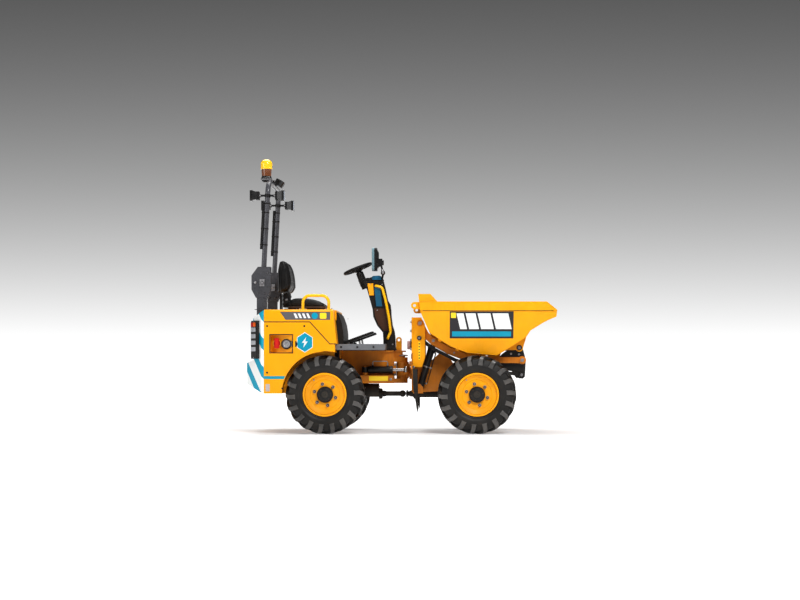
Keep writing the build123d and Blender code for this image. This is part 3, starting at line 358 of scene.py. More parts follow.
class Piece:
    """One named mesh, put together from turned, extruded and swept shapes in the part's own place."""

    def __init__(self, name, body, *materials):
        self.name, self.body, self.materials = name, body, materials
        self.mesh = bmesh.new()

    def faces(self, points, loops, material=0, smooth=False):
        made = [self.mesh.verts.new(p) for p in points]
        for loop in loops:
            try:
                face = self.mesh.faces.new([made[i] for i in loop])
            except ValueError:
                continue
            face.material_index, face.smooth = material, smooth

    def loft(self, points, count, material=0, smooth=False, closed=False):
        """Skin over rings of count points, with its ends closed unless the rings close on themselves."""
        loops = joined(len(points) // count, count, closed)
        if not closed:
            loops += [range(count), range(len(points) - count, len(points))]
        self.faces(points, loops, material, smooth)

    def plate(self, outline, origin, across, up, depth, material=0):
        """Prism: a flat outline in the plane of across and up, extruded by the vector depth."""
        origin, across, up, depth = map(Vector, (origin, across, up, depth))
        low = [origin + across * a + up * b for a, b in outline]
        self.loft(low + [p + depth for p in low], len(low), material)

    def flat(self, outline, place, height, material=0):
        """Prism with its outline in X-Y."""
        self.plate(outline, place, X, Y, Z * height, material)

    def wall(self, outline, place, depth, material=0):
        """Prism with its outline in X-Z."""
        self.plate(outline, place, X, Z, depth, material)

    def cross(self, outline, place, depth, material=0):
        """Prism with its outline in Y-Z."""
        self.plate(outline, place, Y, Z, depth, material)

    def side(self, outline, y0, y1, material=0):
        """Prism with its outline in X-Z, between two widths."""
        self.wall(outline, Y * y0, Y * (y1 - y0), material)

    def box(self, low, high, material=0):
        (x0, y0, z0), (x1, y1, z1) = low, high
        self.side(rect(x0, x1, z0, z1), y0, y1, material)

    def turned(self, profile, origin, axis, segments=32, material=0):
        """Turned shape: profile of (distance along the axis, radius)."""
        axis, side, other = frame_of(axis)
        points = [Vector(origin) + axis * a + out * r
                  for out in rays(segments, 0, side, other) for a, r in profile]
        count = len(profile)
        loops = [(a, b, b + 1, a + 1) for a, b in
                 ((i * count + k, (i + 1) % segments * count + k) for i in range(segments)
                  for k in range(count - 1))]
        self.faces(points, loops, material, True)

    def knob(self, profile, origin, axis, segments=32, material=0):
        """Turned shape with flat closed ends."""
        self.turned([(profile[0][0], 0.0), *profile, (profile[-1][0], 0.0)], origin, axis, segments, material)

    def band(self, start, end, inner, outer, origin, axis, segments=32, material=0):
        """Ring of rectangular section, open on its inside."""
        self.turned([(start, inner), (start, outer), (end, outer), (end, inner)], origin, axis, segments,
                    material)

    def bar(self, start, end, radius, segments=20, material=0, chamfer=0.0):
        """Round bar with closed ends."""
        axis = Vector(end) - Vector(start)
        low, high, narrow = chamfer, axis.length - chamfer, radius - chamfer
        self.knob([(0, narrow), (low, radius), (high, radius), (axis.length, narrow)], start, axis, segments,
                  material)

    def bolt(self, place, axis, size=0.016, material=0, head=0.6, plain=False):
        """Hexagon bolt head standing on a surface, with a washer unless plain; size across the flats."""
        axis, side, other = frame_of(axis)
        place = Vector(place)
        if not plain:
            thick, wide = size * 0.12, size * 0.85
            self.turned([(0, size * 0.3), (0, wide), (thick, wide), (thick, 0.0)], place, axis, 20, material)
            place = place + axis * thick
        r, h = size / sqrt(3), size * head
        points = [place + axis * a + ray * q for a, q in ((0, r), (h * 0.85, r), (h, r * 0.82))
                  for ray in rays(6, 0, side, other)]
        self.faces(points, joined(3, 6) + [range(12, 18)], material)

    def tube(self, path, radius, segments=10, material=0, closed=False, dents=1.0):
        """Round tube through points, with its ends closed; every other ring is dented by a factor."""
        path = [Vector(p) for p in path]
        points, last, side = [], len(path) - 1, None
        for i, p in enumerate(path):
            before, after = path[i - 1], path[(i + 1) % len(path)]
            ahead = (after if closed or i < last else p) - (before if closed or i else p)
            ahead.normalize()
            side = ahead.orthogonal() if side is None else side - ahead * side.dot(ahead)
            side.normalize()
            reach = radius * (1.0 if i % 2 else dents)
            points += [p + ray * reach for ray in rays(segments, 0, side, ahead.cross(side))]
        self.loft(points, segments, material, True, closed)

    def done(self, bevel=0.0, segments=2, stands_for=(), slot=None, angle=35):
        """Makes the object, and lets it ride on its body."""
        bmesh.ops.remove_doubles(self.mesh, verts=self.mesh.verts, dist=1e-6)
        made = placed(self.name, self.mesh, self.materials)
        if bevel:
            round_off = made.modifiers.new("round", "BEVEL")
            round_off.width, round_off.segments = bevel, segments
            round_off.limit_method, round_off.angle_limit = "ANGLE", radians(angle)
            round_off.harden_normals = False
        made.data.set_sharp_from_angle(angle=radians(angle))
        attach(made, self.body)
        if stands_for:
            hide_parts(*stands_for)


def placed(name, mesh, materials=()):
    """Object of a finished bmesh, its faces turned outwards."""
    bmesh.ops.recalc_face_normals(mesh, faces=mesh.faces)
    data = bpy.data.meshes.new(name)
    mesh.to_mesh(data)
    mesh.free()
    for material in materials:
        data.materials.append(material)
    made = bpy.data.objects.new(name, data)
    scene.collection.objects.link(made)
    return made


# ---------------------------------------------------------------- tyres
LUGS = 18
# a lug from past the crown's middle, over the shoulder and down the sidewall:
# (foot y, foot radius, top y, top radius, turn in degrees, half width)
LUG_LINE = [(-0.008, -0.026, -0.008, -0.0015, 0.0, 0.014), (0.030, -0.026, 0.030, -0.0005, 4.0, 0.0145),
            (0.058, -0.028, 0.058, -0.001, 8.0, 0.0155), (0.074, -0.032, 0.076, -0.004, 10.8, 0.017),
            (0.080, -0.044, 0.089, -0.016, 12.6, 0.019), (0.083, -0.062, 0.0945, -0.036, 13.6, 0.020),
            (0.084, -0.088, 0.0930, -0.076, 14.0, 0.0205), (0.084, -0.104, 0.086, -0.098, 14.2, 0.0205)]
# half of the carcass: (y, radius)
CARCASS = [(0.060, 0.1815), (0.0735, 0.1818), (0.0735, 0.1905), (0.079, 0.196), (0.0815, 0.2015),
           (0.080, 0.207), (0.0845, 0.213), (0.089, 0.224), (0.0915, 0.235), (0.0905, 0.2385),
           (0.0915, 0.242), (0.0895, 0.258), (0.086, 0.272), (0.0825, 0.290),
           (0.078, TYRE_R - 0.034), (0.066, TYRE_R - 0.0265),
           (0.040, TYRE_R - 0.0232), (0.0, TYRE_R - 0.022)]
WHEELS = [(end, hand, sign, vec(x, sign * WHEEL_Y, AXLE_Z))
          for end, x in (("front", AXLE_X), ("rear", -AXLE_X))
          for hand, sign in (("left", 1), ("right", -1))]


def lug(piece, centre, side, start):
    """One lug: dark flanks and ends, and a top in a lighter grey that is a painted highlight, with real dust
    on it.
    """
    points = []
    for foot_y, foot_r, top_y, top_r, turn, half_width in LUG_LINE:
        ring = []
        for y, q, width in ((foot_y, TYRE_R + foot_r, half_width * 1.25),
                            (top_y, TYRE_R + top_r, half_width)):
            for way in (-1, 1):
                angle = radians(start + turn) + way * width / q
                ring.append(centre + vec(q * cos(angle), side * y, q * sin(angle)))
        points += [ring[0], ring[2], ring[3], ring[1]]
    starts = range(0, len(points) - 4, 4)
    flanks = [(a + k, a + k + 4, a + k + 5, a + k + 1) for a in starts for k in (0, 2)]
    piece.faces(points, flanks + [range(4), range(len(points) - 4, len(points))])
    # the top faces take the lighter grey of the painted highlight
    piece.faces(points, [(a + 1, a + 5, a + 6, a + 2) for a in starts], 1)


for end, hand, sign, centre in WHEELS:
    piece = Piece(f"tyre_lugged_{end}_{hand}", f"wheel_{end}_{hand}", rubber, tread)
    piece.turned(CARCASS + [(-y, q) for y, q in reversed(CARCASS[:-1])], centre, Y, 120)
    for side, stagger in ((1, 0.0), (-1, 0.5)):
        for i in range(LUGS):
            lug(piece, centre, side, (i + stagger) * 360 / LUGS)
    piece.done(bevel=0.002, segments=1, stands_for=[f"tyre_{end}_{hand}"], slot="tyre_rubber", angle=40)

# ---------------------------------------------------------------- wheel fittings
DISC_FACE = 0.034
for end, hand, sign, centre in WHEELS:
    out = Y * sign
    piece = Piece(f"wheel_fittings_{end}_{hand}", f"wheel_{end}_{hand}", steel, cast, zinc)
    for ray in rays(6, 44):
        foot = centre + ray * 0.0945 + out * DISC_FACE
        piece.turned([(0, 0.005), (0, 0.015), (0.004, 0.015), (0.004, 0.0)], foot, out, 20, 2)
        piece.bolt(foot + out * 0.003, out, 0.021, 0, 0.75, plain=True)
        piece.bar(foot + out * 0.016, foot + out * 0.026, 0.0062, 12, 2, 0.001)
    for ray in rays(6, 14):
        piece.bolt(centre + ray * 0.049 + out * 0.066, out, 0.013, 1)
    piece.knob([(0.064, 0.030), (0.071, 0.030), (0.074, 0.026)], centre, out, 28, 1)
    piece.bolt(centre + out * 0.074, out, 0.017, 1, 0.3, plain=True)
    stem = centre + vec(cos(2.2), 0, sin(2.2)) * 0.156 + out * 0.046
    piece.bar(stem, stem + out * 0.03 + X * 0.002, 0.004, 10, 0, 0.001)
    piece.knob([(0, 0.0062), (0.01, 0.0062), (0.012, 0.004)], stem + out * 0.026, out, 10, 2)
    piece.done()

# ---------------------------------------------------------------- body sides
FILM = 0.0006
HANDS = (("left", 1), ("right", -1))
body_low, body_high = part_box("body_side_right")
BODY_REAR, BODY_TOP, SIDE_Y = body_low.x, body_high.z, -body_low.y
ARCH_R = 0.375
LID_LINE = [(BODY_REAR + 0.001, 0.966), (-0.783, 0.966), (-0.611, 0.777), (-0.556, 0.777)]
BAND = [(-1.039, 1.053), (-0.608, 1.053), (-0.608, 0.984), (-0.992, 0.984)]
STRIP = [(BODY_REAR + 0.001, 0.475), (BODY_REAR + 0.001, 0.500), (-0.992, 0.500), (-1.0025, 0.475)]
BADGE_X, BADGE_Z = -0.826, 0.790
ZIGZAG = [(0.012, 0.046), (-0.026, -0.004), (-0.004, -0.004), (-0.014, -0.046), (0.026, 0.008),
          (0.004, 0.008)]


def ribbon(line, width):
    """Outline of a strip of even width along an open line, (x, z)."""
    ahead = [(Vector(b) - Vector(a)).normalized() for a, b in zip(line, line[1:])]
    left, right = [], []
    for i, p in enumerate(line):
        before, after = ahead[max(i - 1, 0)], ahead[min(i, len(ahead) - 1)]
        out = (before + after).normalized()
        out = vec(-out.y, out.x) * width / 2 / max(0.4, out.dot(before))
        left.append(tuple(Vector(p) + out))
        right.append(tuple(Vector(p) - out))
    return left + right[::-1]


def slanted(x, z0, z1, width, lean=0.018):
    return [(x, z0), (x + width, z0), (x + width - lean, z1), (x - lean, z1)]


def films(piece, sign, layers):
    """Thin films on the side face, each (outline, material, layer)."""
    for outline, material, layer in layers:
        y = sign * (SIDE_Y + FILM * layer)
        piece.side(outline, y, y + sign * FILM, material)


def middle_of(name):
    """Corners of a node's box, and its middle."""
    low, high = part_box(name)
    return low, high, (low + high) / 2


for hand, sign in HANDS:
    piece = Piece(f"body_trim_{hand}", "rear_frame", dark_film, grey_film, teal_film, housing, steel)
    # The dark film along the lid's parting line is a painted shadow of the gap; the grey band and the teal
    # strip are print.
    films(piece, sign, [(ribbon(LID_LINE, 0.0075), 0, 0), (BAND, 1, 0), (STRIP, 2, 0)])
    # rolled lip round the wheel arch
    lip = arc((-AXLE_X, AXLE_Z), ARCH_R - 0.001, 92, 178.5, 40)
    piece.tube([(x, sign * (SIDE_Y - 0.004), z) for x, z in lip], 0.0055, 8, 3)
    for x, z in ((-1.15, 0.93), (-0.83, 0.93), (-1.15, 0.53), (-1.02, 0.395)):
        screw = vec(x, sign * SIDE_Y, z)
        piece.knob([(0, 0.0085), (0.002, 0.0078), (0.0032, 0.004)], screw, Y * sign, 18, 4)
        piece.bar(screw + Y * sign * 0.0028, screw + Y * sign * 0.0036, 0.0035, 6)
    piece.done()

decals = Piece("side_decals_right", "rear_frame", white_film, teal_film, yellow_film, pale_film)
films(decals, -1, [(slanted(-0.905 + 0.036 * i, 0.998, 1.039, 0.02), 0, 1) for i in range(4)])
films(decals, -1, [(arc((-0.741, 1.0185), 0.0275, 0, 360, 28)[:-1], 1, 1),
                   (rounded(-0.697, -0.640, 0.993, 1.044, 0.008), 2, 1),
                   (rounded(-1.163, -1.128, 0.368, 0.432, 0.004), 3, 0)])
# plain badge: a six-sided shield with a pale edge and a zigzag
for grow, layer in ((0.0785, 0), (0.0725, 1)):
    shield = [(BADGE_X + grow * ray.x, BADGE_Z + grow * 1.12 * ray.z) for ray in rays(6, 30)]
    films(decals, -1, [(shield, layer, layer)])
films(decals, -1, [([(BADGE_X + x, BADGE_Z + z) for x, z in ZIGZAG], 0, 2)])
decals.done()

# isolator and socket in the pocket of the right side
socket_low, _, socket = middle_of("charge_socket")
SOCKET = vec(socket.x, socket_low.y, socket.z)
inlet = Piece("socket_fittings", "rear_frame", lamp_black, zinc, bright_ring)
inlet.turned([(-0.006, 0.028), (0.0, 0.0335), (0.004, 0.038), (0.0045, 0.0425), (-0.004, 0.0455),
              (-0.02, 0.0455)], SOCKET, -Y, 48)
inlet.turned([(-0.0275, 0.0), (-0.0275, 0.024), (-0.012, 0.024), (-0.011, 0.0265), (-0.002, 0.0275),
              (-0.0275, 0.0275)], SOCKET, -Y, 40, 2)
for pin in [ray * 0.0145 for ray in rays(6)] + [X * 0]:
    inlet.bar(SOCKET + Y * 0.027 + pin, SOCKET + Y * 0.015 + pin, 0.0028, 12, 1, 0.0008)
# its sprung lid, held open in front of the socket
lid_hinge = SOCKET + vec(0.043, -0.0005, 0)
inlet.bar(lid_hinge - Z * 0.02, lid_hinge + Z * 0.02, 0.004, 14, 1, 0.001)
lid_outline = [(0.003, -0.026)] + arc((0.026, 0.0), 0.030, -60, 60, 14) + [(0.003, 0.026)]
inlet.plate(lid_outline, lid_hinge, (0.97, -0.24, 0), Z, (-0.0012, -0.0048, 0))
inlet.done(bevel=0.0008)

key_low, _, key = middle_of("isolator_switch")
KEY = vec(key.x, key_low.y, key.z)
isolator = Piece("isolator_plate", "rear_frame", yellow_film, steel, red_key, dark_film)
isolator.wall(rounded(-0.0225, 0.0225, -0.0415, 0.0415, 0.005), KEY + Y * 0.018, Y * -0.0035, 2)
# dark frame round the pocket's mouth: painted shade along its edges
x0, x1, z0, z1, seal = BODY_REAR + 0.054, BODY_REAR + 0.244, 0.703, 0.854, 0.007
for a, b, c, d in ((x0 - seal, x1 + seal, z1, z1 + seal), (x0 - seal, x1 + seal, z0 - seal, z0),
                   (x0 - seal, x0, z0, z1), (x1, x1 + seal, z0, z1)):
    isolator.box((a, -SIDE_Y - 0.002, c), (b, -SIDE_Y + 0.002, d), 3)
isolator.band(0.0, 0.002, 0.0305, 0.036, KEY + Y * 0.0315, -Y, 40)
for way in (-1, 1):
    isolator.bolt(KEY + vec(0.0, 0.030, way * 0.041), -Y, 0.007, 1, plain=True)
isolator.done()

# hand rail feet
rail_low, rail_high, rail = middle_of("hand_rail")
feet = Piece("hand_rail_feet", "rear_frame", lemon, zinc)
for x in (rail_low.x + 0.013, rail_high.x - 0.013):
    foot = vec(x, rail.y, BODY_TOP)
    feet.flat(rounded(-0.034, 0.034, -0.021, 0.021, 0.012), foot, 0.006)
    feet.turned([(0.006, 0.0205), (0.009, 0.0165), (0.0115, 0.0128)], foot, Z, 28)
    for way in (-1, 1):
        feet.bolt(foot + vec(way * 0.0255, 0, 0.006), Z, 0.010, 1)
feet.done(bevel=0.0012)

# ---------------------------------------------------------------- tail lamps
TAIL_X, TAIL_Y, TAIL_Z = -1.245, 0.480, 0.813
LENSES = [(0.112, 0.148, 1, 2)] + [(0.068 - 0.056 * i, 0.105 - 0.056 * i, 3, 3) for i in range(4)]
for hand, sign in HANDS:
    out, across = vec(-1, sign, 0).normalized(), vec(1, sign, 0).normalized()
    face = vec(TAIL_X, sign * TAIL_Y, TAIL_Z) + out * 0.0318
    lamp = Piece(f"tail_lenses_{hand}", "rear_frame", lamp_black, red_lens, orange_lens, grey_lens, zinc)

    def layer(outline, lift, thick, material=0):
        lamp.plate(outline, face + out * lift, across, Z, out * thick, material)

    layer(rounded(-0.036, 0.036, -0.160, 0.160, 0.012), 0.0, 0.004)
    for z0, z1, inner, outer in LENSES:
        for a, b, material in ((-0.030, -0.001, outer if sign > 0 else inner),
                               (0.001, 0.030, inner if sign > 0 else outer)):
            layer(rounded(a, b, z0, z1, 0.005), 0.004, 0.006, material)
            for x in (a + (b - a) * (k + 0.5) / 5 for k in range(5)):
                layer(rect(x - 0.0011, x + 0.0011, z0 + 0.004, z1 - 0.004), 0.0099, 0.0011, material)
        layer(rounded(-0.034, 0.034, z0 - 0.004, z0 - 0.001, 0.001, 2), 0.004, 0.004)
    for z in (-0.152, 0.154):
        lamp.bolt(face + out * 0.004 + Z * z, out, 0.006, 4, plain=True)
    lamp.done(bevel=0.001)

# ---------------------------------------------------------------- roll-over hoop
hoop_low, hoop_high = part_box("rops_hoop")
HOOP_R = 0.022
HOOP_Y, HOOP_TOP = hoop_high.y - HOOP_R, hoop_high.z - HOOP_R
post_low, post_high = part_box("rops_posts")
HOOP_X = post_low.x + 0.094
FOLD_X, FOLD_Z = HOOP_X - 0.061, 1.311
LEAN = tan(radians(3))
LEG_UP, LEG_BACK = vec(LEAN, 0, 1).normalized(), vec(-1, 0, LEAN).normalized()
LOOM_LOW, LOOM_HIGH = 1.60, 2.02


def hoop_place(z, y):
    """Point on the axis of a hoop leg."""
    return vec(HOOP_X + (z - 1.262) * LEAN, y, z)


loom = Piece("hoop_loom", "rops_hoop", lamp_black, steel)
for sign in (-1, 1):
    y = sign * HOOP_Y
    a, b = hoop_place(LOOM_LOW, y), hoop_place(LOOM_HIGH, y)
    loom.plate(rect(-0.012, 0.012, 0, (b - a).length), a + LEG_BACK * 0.0215, Y, LEG_UP, LEG_BACK * 0.020)
    for at in (hoop_place(z, y) for z in (1.64, 1.78, 1.92, 2.0)):
        loom.band(-0.006, 0.006, 0.0222, 0.0236, at, LEG_UP, 28, 1)
        clip = rect(-0.014, 0.014, -0.006, 0.006)
        loom.plate(clip, at + LEG_BACK * 0.0216, Y, LEG_UP, LEG_BACK * 0.0215, 1)
    # socket collar where the leg meets its fold lug
    loom.turned([(0, 0.022), (0, 0.0265), (0.05, 0.0265), (0.056, 0.0225)],
                hoop_place(1.345, y), LEG_UP, 36, 1)
loom.done(bevel=0.0015)

posts = Piece("hoop_fittings", "rear_frame", zinc, hoop_grey_painted_highlight)
for sign in (-1, 1):
    leg = Y * sign * HOOP_Y
    for way in (-1, 1):
        out = Y * way
        posts.bolt(leg + vec(FOLD_X, way * 0.042, FOLD_Z), out, 0.020, 0, 0.35, plain=True)
        lock = leg + vec(HOOP_X - 0.001, way * 0.045, FOLD_Z - 0.002)
        posts.wall(rounded(-0.021, 0.021, -0.031, 0.031, 0.004), lock - out * 0.004, out * 0.004)
        posts.bar(lock, lock + out * 0.012, 0.0105, 20, 0, 0.0015)
        for dx, dz in ((0.045, 0.085), (-0.035, -0.095), (0.022, -0.095), (0.052, -0.03)):
            posts.bolt(leg + vec(HOOP_X + dx, way * 0.033, FOLD_Z + dz), out, 0.015, 1, 0.5)
    # pull ring on the lock pin
    ring = vec(HOOP_X - 0.001, sign * (HOOP_Y + 0.057), FOLD_Z - 0.018)
    posts.tube([ring + ray * 0.014 for ray in rays(24)], 0.0017, 8, 0, closed=True)
    posts.flat(rounded(-0.062, 0.062, -0.040, 0.040, 0.008), leg + vec(HOOP_X - 0.005, 0, BODY_TOP), 0.006, 1)
posts.done(bevel=0.0012)

# ---------------------------------------------------------------- work lamps and beacon
lamps = Piece("work_lamp_fronts", "rops_hoop", lamp_black, glass, zinc, steel)
LAMP_Z = HOOP_TOP - 0.131
lamp_low, lamp_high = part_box("work_lamps")
for sign in (-1, 1):
    leg = hoop_place(LAMP_Z, sign * HOOP_Y)
    for way, face_x in ((-1, lamp_low.x), (1, lamp_high.x)):
        out = X * way
        face = vec(face_x - way * 0.0042, leg.y, LAMP_Z)
        lamps.cross(rounded(-0.040, 0.040, -0.040, 0.040, 0.008), face, out * 0.0046, 1)
        for y in (-0.0245, 0.0, 0.0245):
            for z in (-0.0245, 0.0, 0.0245):
                lamps.turned([(0, 0.0104), (0.0006, 0.0104), (0.0003, 0.004), (0.0007, 0.0)],
                             face + out * 0.0046 + vec(0, y, z), out, 20, 1)
        for y, z in rect(-0.043, 0.043, -0.043, 0.043):
            lamps.bolt(face + out * 0.004 + vec(0, y, z), out, 0.0045, 2, plain=True)
        # swivel ears, clamp bolt and the band round the leg
        back = vec(face_x - way * 0.064, leg.y, LAMP_Z)
        for side in (-1, 1):
            lamps.wall(rounded(-0.018, 0.018, -0.012, 0.012, 0.008),
                       back + vec(-way * 0.012, side * 0.0145, 0), Y * side * 0.003, 3)
            lamps.bolt(back + vec(-way * 0.018, side * 0.0175, 0), Y * side, 0.010, 2)
        lamps.band(-0.014, 0.014, 0.0222, 0.0255, leg, LEG_UP, 32, 3)
# round lamp under the cross tube
ROUND = vec(hoop_place(HOOP_TOP, 0).x + 0.052, 0, HOOP_TOP + 0.030)
shine, side, other = frame_of((-0.013, 0, -0.022))
mouth = ROUND + shine * 0.0256
lamps.turned([(-0.003, 0.0422), (-0.003, 0.0448), (0.0035, 0.0448), (0.0045, 0.041), (0.0015, 0.0395),
              (0.0004, 0.039)], mouth, shine, 48)
lamps.turned([(0.0006, 0.0392), (0.0030, 0.030), (0.0042, 0.015), (0.0046, 0.0)], mouth, shine, 40, 1)
lamps.turned([(-0.054, 0.0), (-0.054, 0.018), (-0.050, 0.024), (-0.0505, 0.032)], mouth, shine, 36)
for ray in rays(9, 0, side, other):
    lamps.plate(rect(-0.0015, 0.0015, 0.0415, 0.0445), mouth - shine * 0.044, ray, shine.cross(ray),
                shine * 0.036)
for way in (-1, 1):
    lamps.bolt((ROUND.x - 0.034, way * 0.0142, HOOP_TOP + 0.040), Y * way, 0.012, 2)
lamps.done(bevel=0.0012)

beacon_low, _, beacon_mid = middle_of("beacon")
BEACON = vec(beacon_mid.x, beacon_mid.y, beacon_low.z)
beacon = Piece("beacon_lamp", "rops_hoop", lamp_black, amber_dome, amber_base, zinc)
beacon.flat(rounded(-0.050, 0.050, -0.045, 0.045, 0.008), BEACON, 0.008, 3)
for material, profile in (
        (0, [(0.008, 0.0), (0.008, 0.047), (0.020, 0.047), (0.024, 0.044), (0.030, 0.0405), (0.034, 0.0405)]),
        (2, [(0.034, 0.0415), (0.052, 0.0425), (0.074, 0.044), (0.094, 0.0462)]),
        (1, [(0.094, 0.0462), (0.096, 0.0515), (0.104, 0.052), (0.108, 0.0498)]),
        (1, [(0.108, 0.0498), (0.128, 0.0508)] + [
            (0.142 + 0.0385 * ray.z, 0.0130 + 0.0375 * ray.x) for ray in rays(36)][:10] + [(0.1812, 0.0)])):
    beacon.turned(profile, BEACON, Z, 56, material)
for ray in rays(24, 0, X, Y):
    foot = BEACON + ray * 0.0496 + Z * 0.110
    beacon.plate(rect(-0.0012, 0.0012, 0.0, 0.030), foot, Z.cross(ray), Z, ray * 0.0015, 1)
for ray in rays(3, 30, X, Y):
    beacon.bolt(BEACON + ray * 0.0462 + Z * 0.0145, ray, 0.006, 3, plain=True)
# gusset brackets under the plate, clamped to the hoop's corner
gusset = [(-0.046, 0), (0.046, 0), (0.028, -0.012), (-0.03, -0.012)]
for side in (-1, 1):
    beacon.wall(gusset, BEACON + Y * side * 0.040, Y * side * 0.004)
beacon.done(bevel=0.0008, stands_for=["beacon"], angle=30)

# ---------------------------------------------------------------- seat
def pad_mesh(name, sections):
    """Closed pad from cross-sections: (x, z) outlines with as many points each, at widths y."""
    mesh = bmesh.new()
    made = [mesh.verts.new((x, y, z)) for y, outline in sections for x, z in outline]
    count = len(sections[0][1])
    for loop in joined(len(sections), count) + [range(count), range(len(made) - count, len(made))]:
        mesh.faces.new([made[i] for i in loop])
    return placed(name, mesh)


def applied(made):
    """Gives the object its evaluated mesh, and drops its modifiers."""
    bpy.context.view_layer.update()
    result = bpy.data.meshes.new_from_object(made.evaluated_get(bpy.context.evaluated_depsgraph_get()))
    made.modifiers.clear()
    made.data = result


def swelled(made, cap, voxel=0.006, pressure=4.0, frames=20):
    """Voxel remesh, then cloth under pressure, no point moving further than cap."""
    remesh = made.modifiers.new("remesh", "REMESH")
    remesh.mode, remesh.voxel_size = "VOXEL", voxel
    applied(made)
    made.modifiers.new("soften", "SMOOTH").iterations = 6
    applied(made)
    start = [v.co.copy() for v in made.data.vertices]
    cloth = made.modifiers.new("cloth", "CLOTH").settings
    cloth.use_pressure = True
    cloth.uniform_pressure_force = pressure
    cloth.effector_weights.gravity = 0
    cloth.quality = 5
    for step in range(1, frames + 1):
        scene.frame_set(step)
    applied(made)
    scene.frame_set(1)
    for vertex, before in zip(made.data.vertices, start):
        move = vertex.co - before
        if move.length > cap:
            vertex.co = before + move * (cap / move.length)
    for face in made.data.polygons:
        face.use_smooth = True


def sewn(made, outside, half, lines, width=0.0035, depth=0.0035):
    """Presses sewn channels into a pad's face: two at widths half, and cross seams between them.

    outside tells which points aren't on the face; lines are functions of a point, 0 on a cross seam."""
    normals = [v.normal.copy() for v in made.data.vertices]
    for vertex, normal in zip(made.data.vertices, normals):
        p = vertex.co
        if outside(p):
            gaps = [FAR]
        else:
            gaps = [abs(abs(p.y) - half)] + [FAR if abs(p.y) > half else abs(line(p)) for line in lines]
        vertex.co -= normal * depth * max(exp(-(gap / width) ** 2) for gap in gaps)


def mirrored(rows):
    """Rows of cuts with the width first, repeated on the other side of the middle one."""
    return rows + [(-row[0], *row[1:]) for row in reversed(rows[:-1])]


FAR = 9.0
SEAT_REAR, SEAT_FRONT = -0.998, -0.676
PAN_LOW = BODY_TOP + 0.0205
PAN_TOP = PAN_LOW + 0.020
# cushion in side view: (x, height over the pan); it falls away to the knees
CUSHION = [(SEAT_REAR + 0.010, 0.001), (-0.840, 0.001), (SEAT_FRONT - 0.014, 0.001),
           (SEAT_FRONT - 0.004, 0.007), (SEAT_FRONT - 0.012, 0.016), (-0.730, 0.036), (-0.790, 0.052),
           (-0.860, 0.061), (-0.930, 0.062), (SEAT_REAR + 0.020, 0.056), (SEAT_REAR + 0.004, 0.042),
           (SEAT_REAR, 0.016)]
# width, share of the height, inset of the ends
CUSHION_CUTS = mirrored([(-0.228, 0.45, 0.024), (-0.222, 0.80, 0.010), (-0.205, 1.02, 0.003),
                         (-0.160, 1.08, 0.0), (-0.115, 0.94, 0.0), (0.0, 0.90, 0.0)])
middle = (SEAT_REAR + SEAT_FRONT) / 2
cushion = pad_mesh("seat_cushion_pad", [
    (y, [(x + (inset if x < middle else -inset), PAN_TOP + h * high) for x, h in CUSHION])
    for y, high, inset in CUSHION_CUTS])
swelled(cushion, 0.007)
sewn(cushion, lambda p: p.z < PAN_TOP + 0.02, 0.128, (lambda p: p.x + 0.775, lambda p: p.x + 0.875))

BACK_LOW, BACK_X = BODY_TOP + 0.162, BODY_REAR + 0.138
BACK_MID = BACK_LOW + 0.145
# backrest in side view: (x, height)
BACK = [(-0.052, 0.006), (-0.012, 0.003), (0.026, 0.008), (0.044, 0.030), (0.052, 0.060), (0.049, 0.110),
        (0.042, 0.164), (0.030, 0.215), (0.014, 0.258), (-0.004, 0.280), (-0.022, 0.287), (-0.040, 0.282),
        (-0.050, 0.262), (-0.058, 0.204), (-0.061, 0.130), (-0.060, 0.050)]
# width, share of the depth, share of the height, shift forward
BACK_CUTS = mirrored([(-0.226, 0.34, 0.80, 0.002), (-0.219, 0.62, 0.90, 0.006), (-0.200, 0.86, 0.965, 0.008),
                      (-0.165, 0.98, 0.99, 0.006), (-0.120, 0.94, 1.0, 0.0), (0.0, 0.92, 1.0, -0.002)])
backrest = pad_mesh("seat_back_pad", [
    (y, [(BACK_X - 0.006 + (x + 0.006) * deep + shift, BACK_MID + (z - 0.145) * high) for x, z in BACK])
    for y, deep, high, shift in BACK_CUTS])
swelled(backrest, 0.006)
sewn(backrest, lambda p: p.x < BACK_X - 0.01, 0.125,
     (lambda p: p.z - BACK_LOW - 0.20, lambda p: p.z - BACK_LOW - 0.10))
for pad, stood_for in ((cushion, "seat_cushion"), (backrest, "seat_backrest")):
    finer = pad.modifiers.new("finer", "SUBSURF")
    finer.levels = finer.render_levels = 1
    pad.data.materials.append(vinyl)
    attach(pad, "rear_frame")
    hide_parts(stood_for)


def piping(name, pad, path, radius=0.0028):
    """Welt sewn along a pad's edge, laid on its surface."""
    points = []
    for p in path:
        _, at, normal, _ = pad.closest_point_on_mesh(Vector(p))
        points.append(at + normal * radius * 0.4)
    for _ in range(2):
        points = [(points[i - 1] + points[i] * 2 + points[(i + 1) % len(points)]) / 4
                  for i in range(len(points))]
    welt = Piece(name, "rear_frame", vinyl)
    welt.tube(points, radius, 8, 0, closed=True)
    welt.done()


cushion_edge = rounded(-0.156, 0.156, -0.224, 0.224, 0.05, 12)
back_edge = rounded(-0.215, 0.215, -0.128, 0.128, 0.07, 14)
piping("cushion_piping", cushion, [(middle + x, y, PAN_TOP + 0.028) for x, y in cushion_edge])
piping("backrest_piping", backrest, [(BACK_X + 0.010, y, BACK_MID + z) for y, z in back_edge])

shell = Piece("seat_shell", "rear_frame", seat_shell, plastic, steel, zinc)
shell.flat(rounded(SEAT_REAR - 0.012, SEAT_FRONT + 0.004, -0.234, 0.234, 0.05, 8), Z * PAN_LOW, 0.012)
shell.flat(rounded(SEAT_REAR - 0.006, SEAT_FRONT - 0.002, -0.230, 0.230, 0.05, 8), Z * (PAN_LOW + 0.012),
           0.0078)
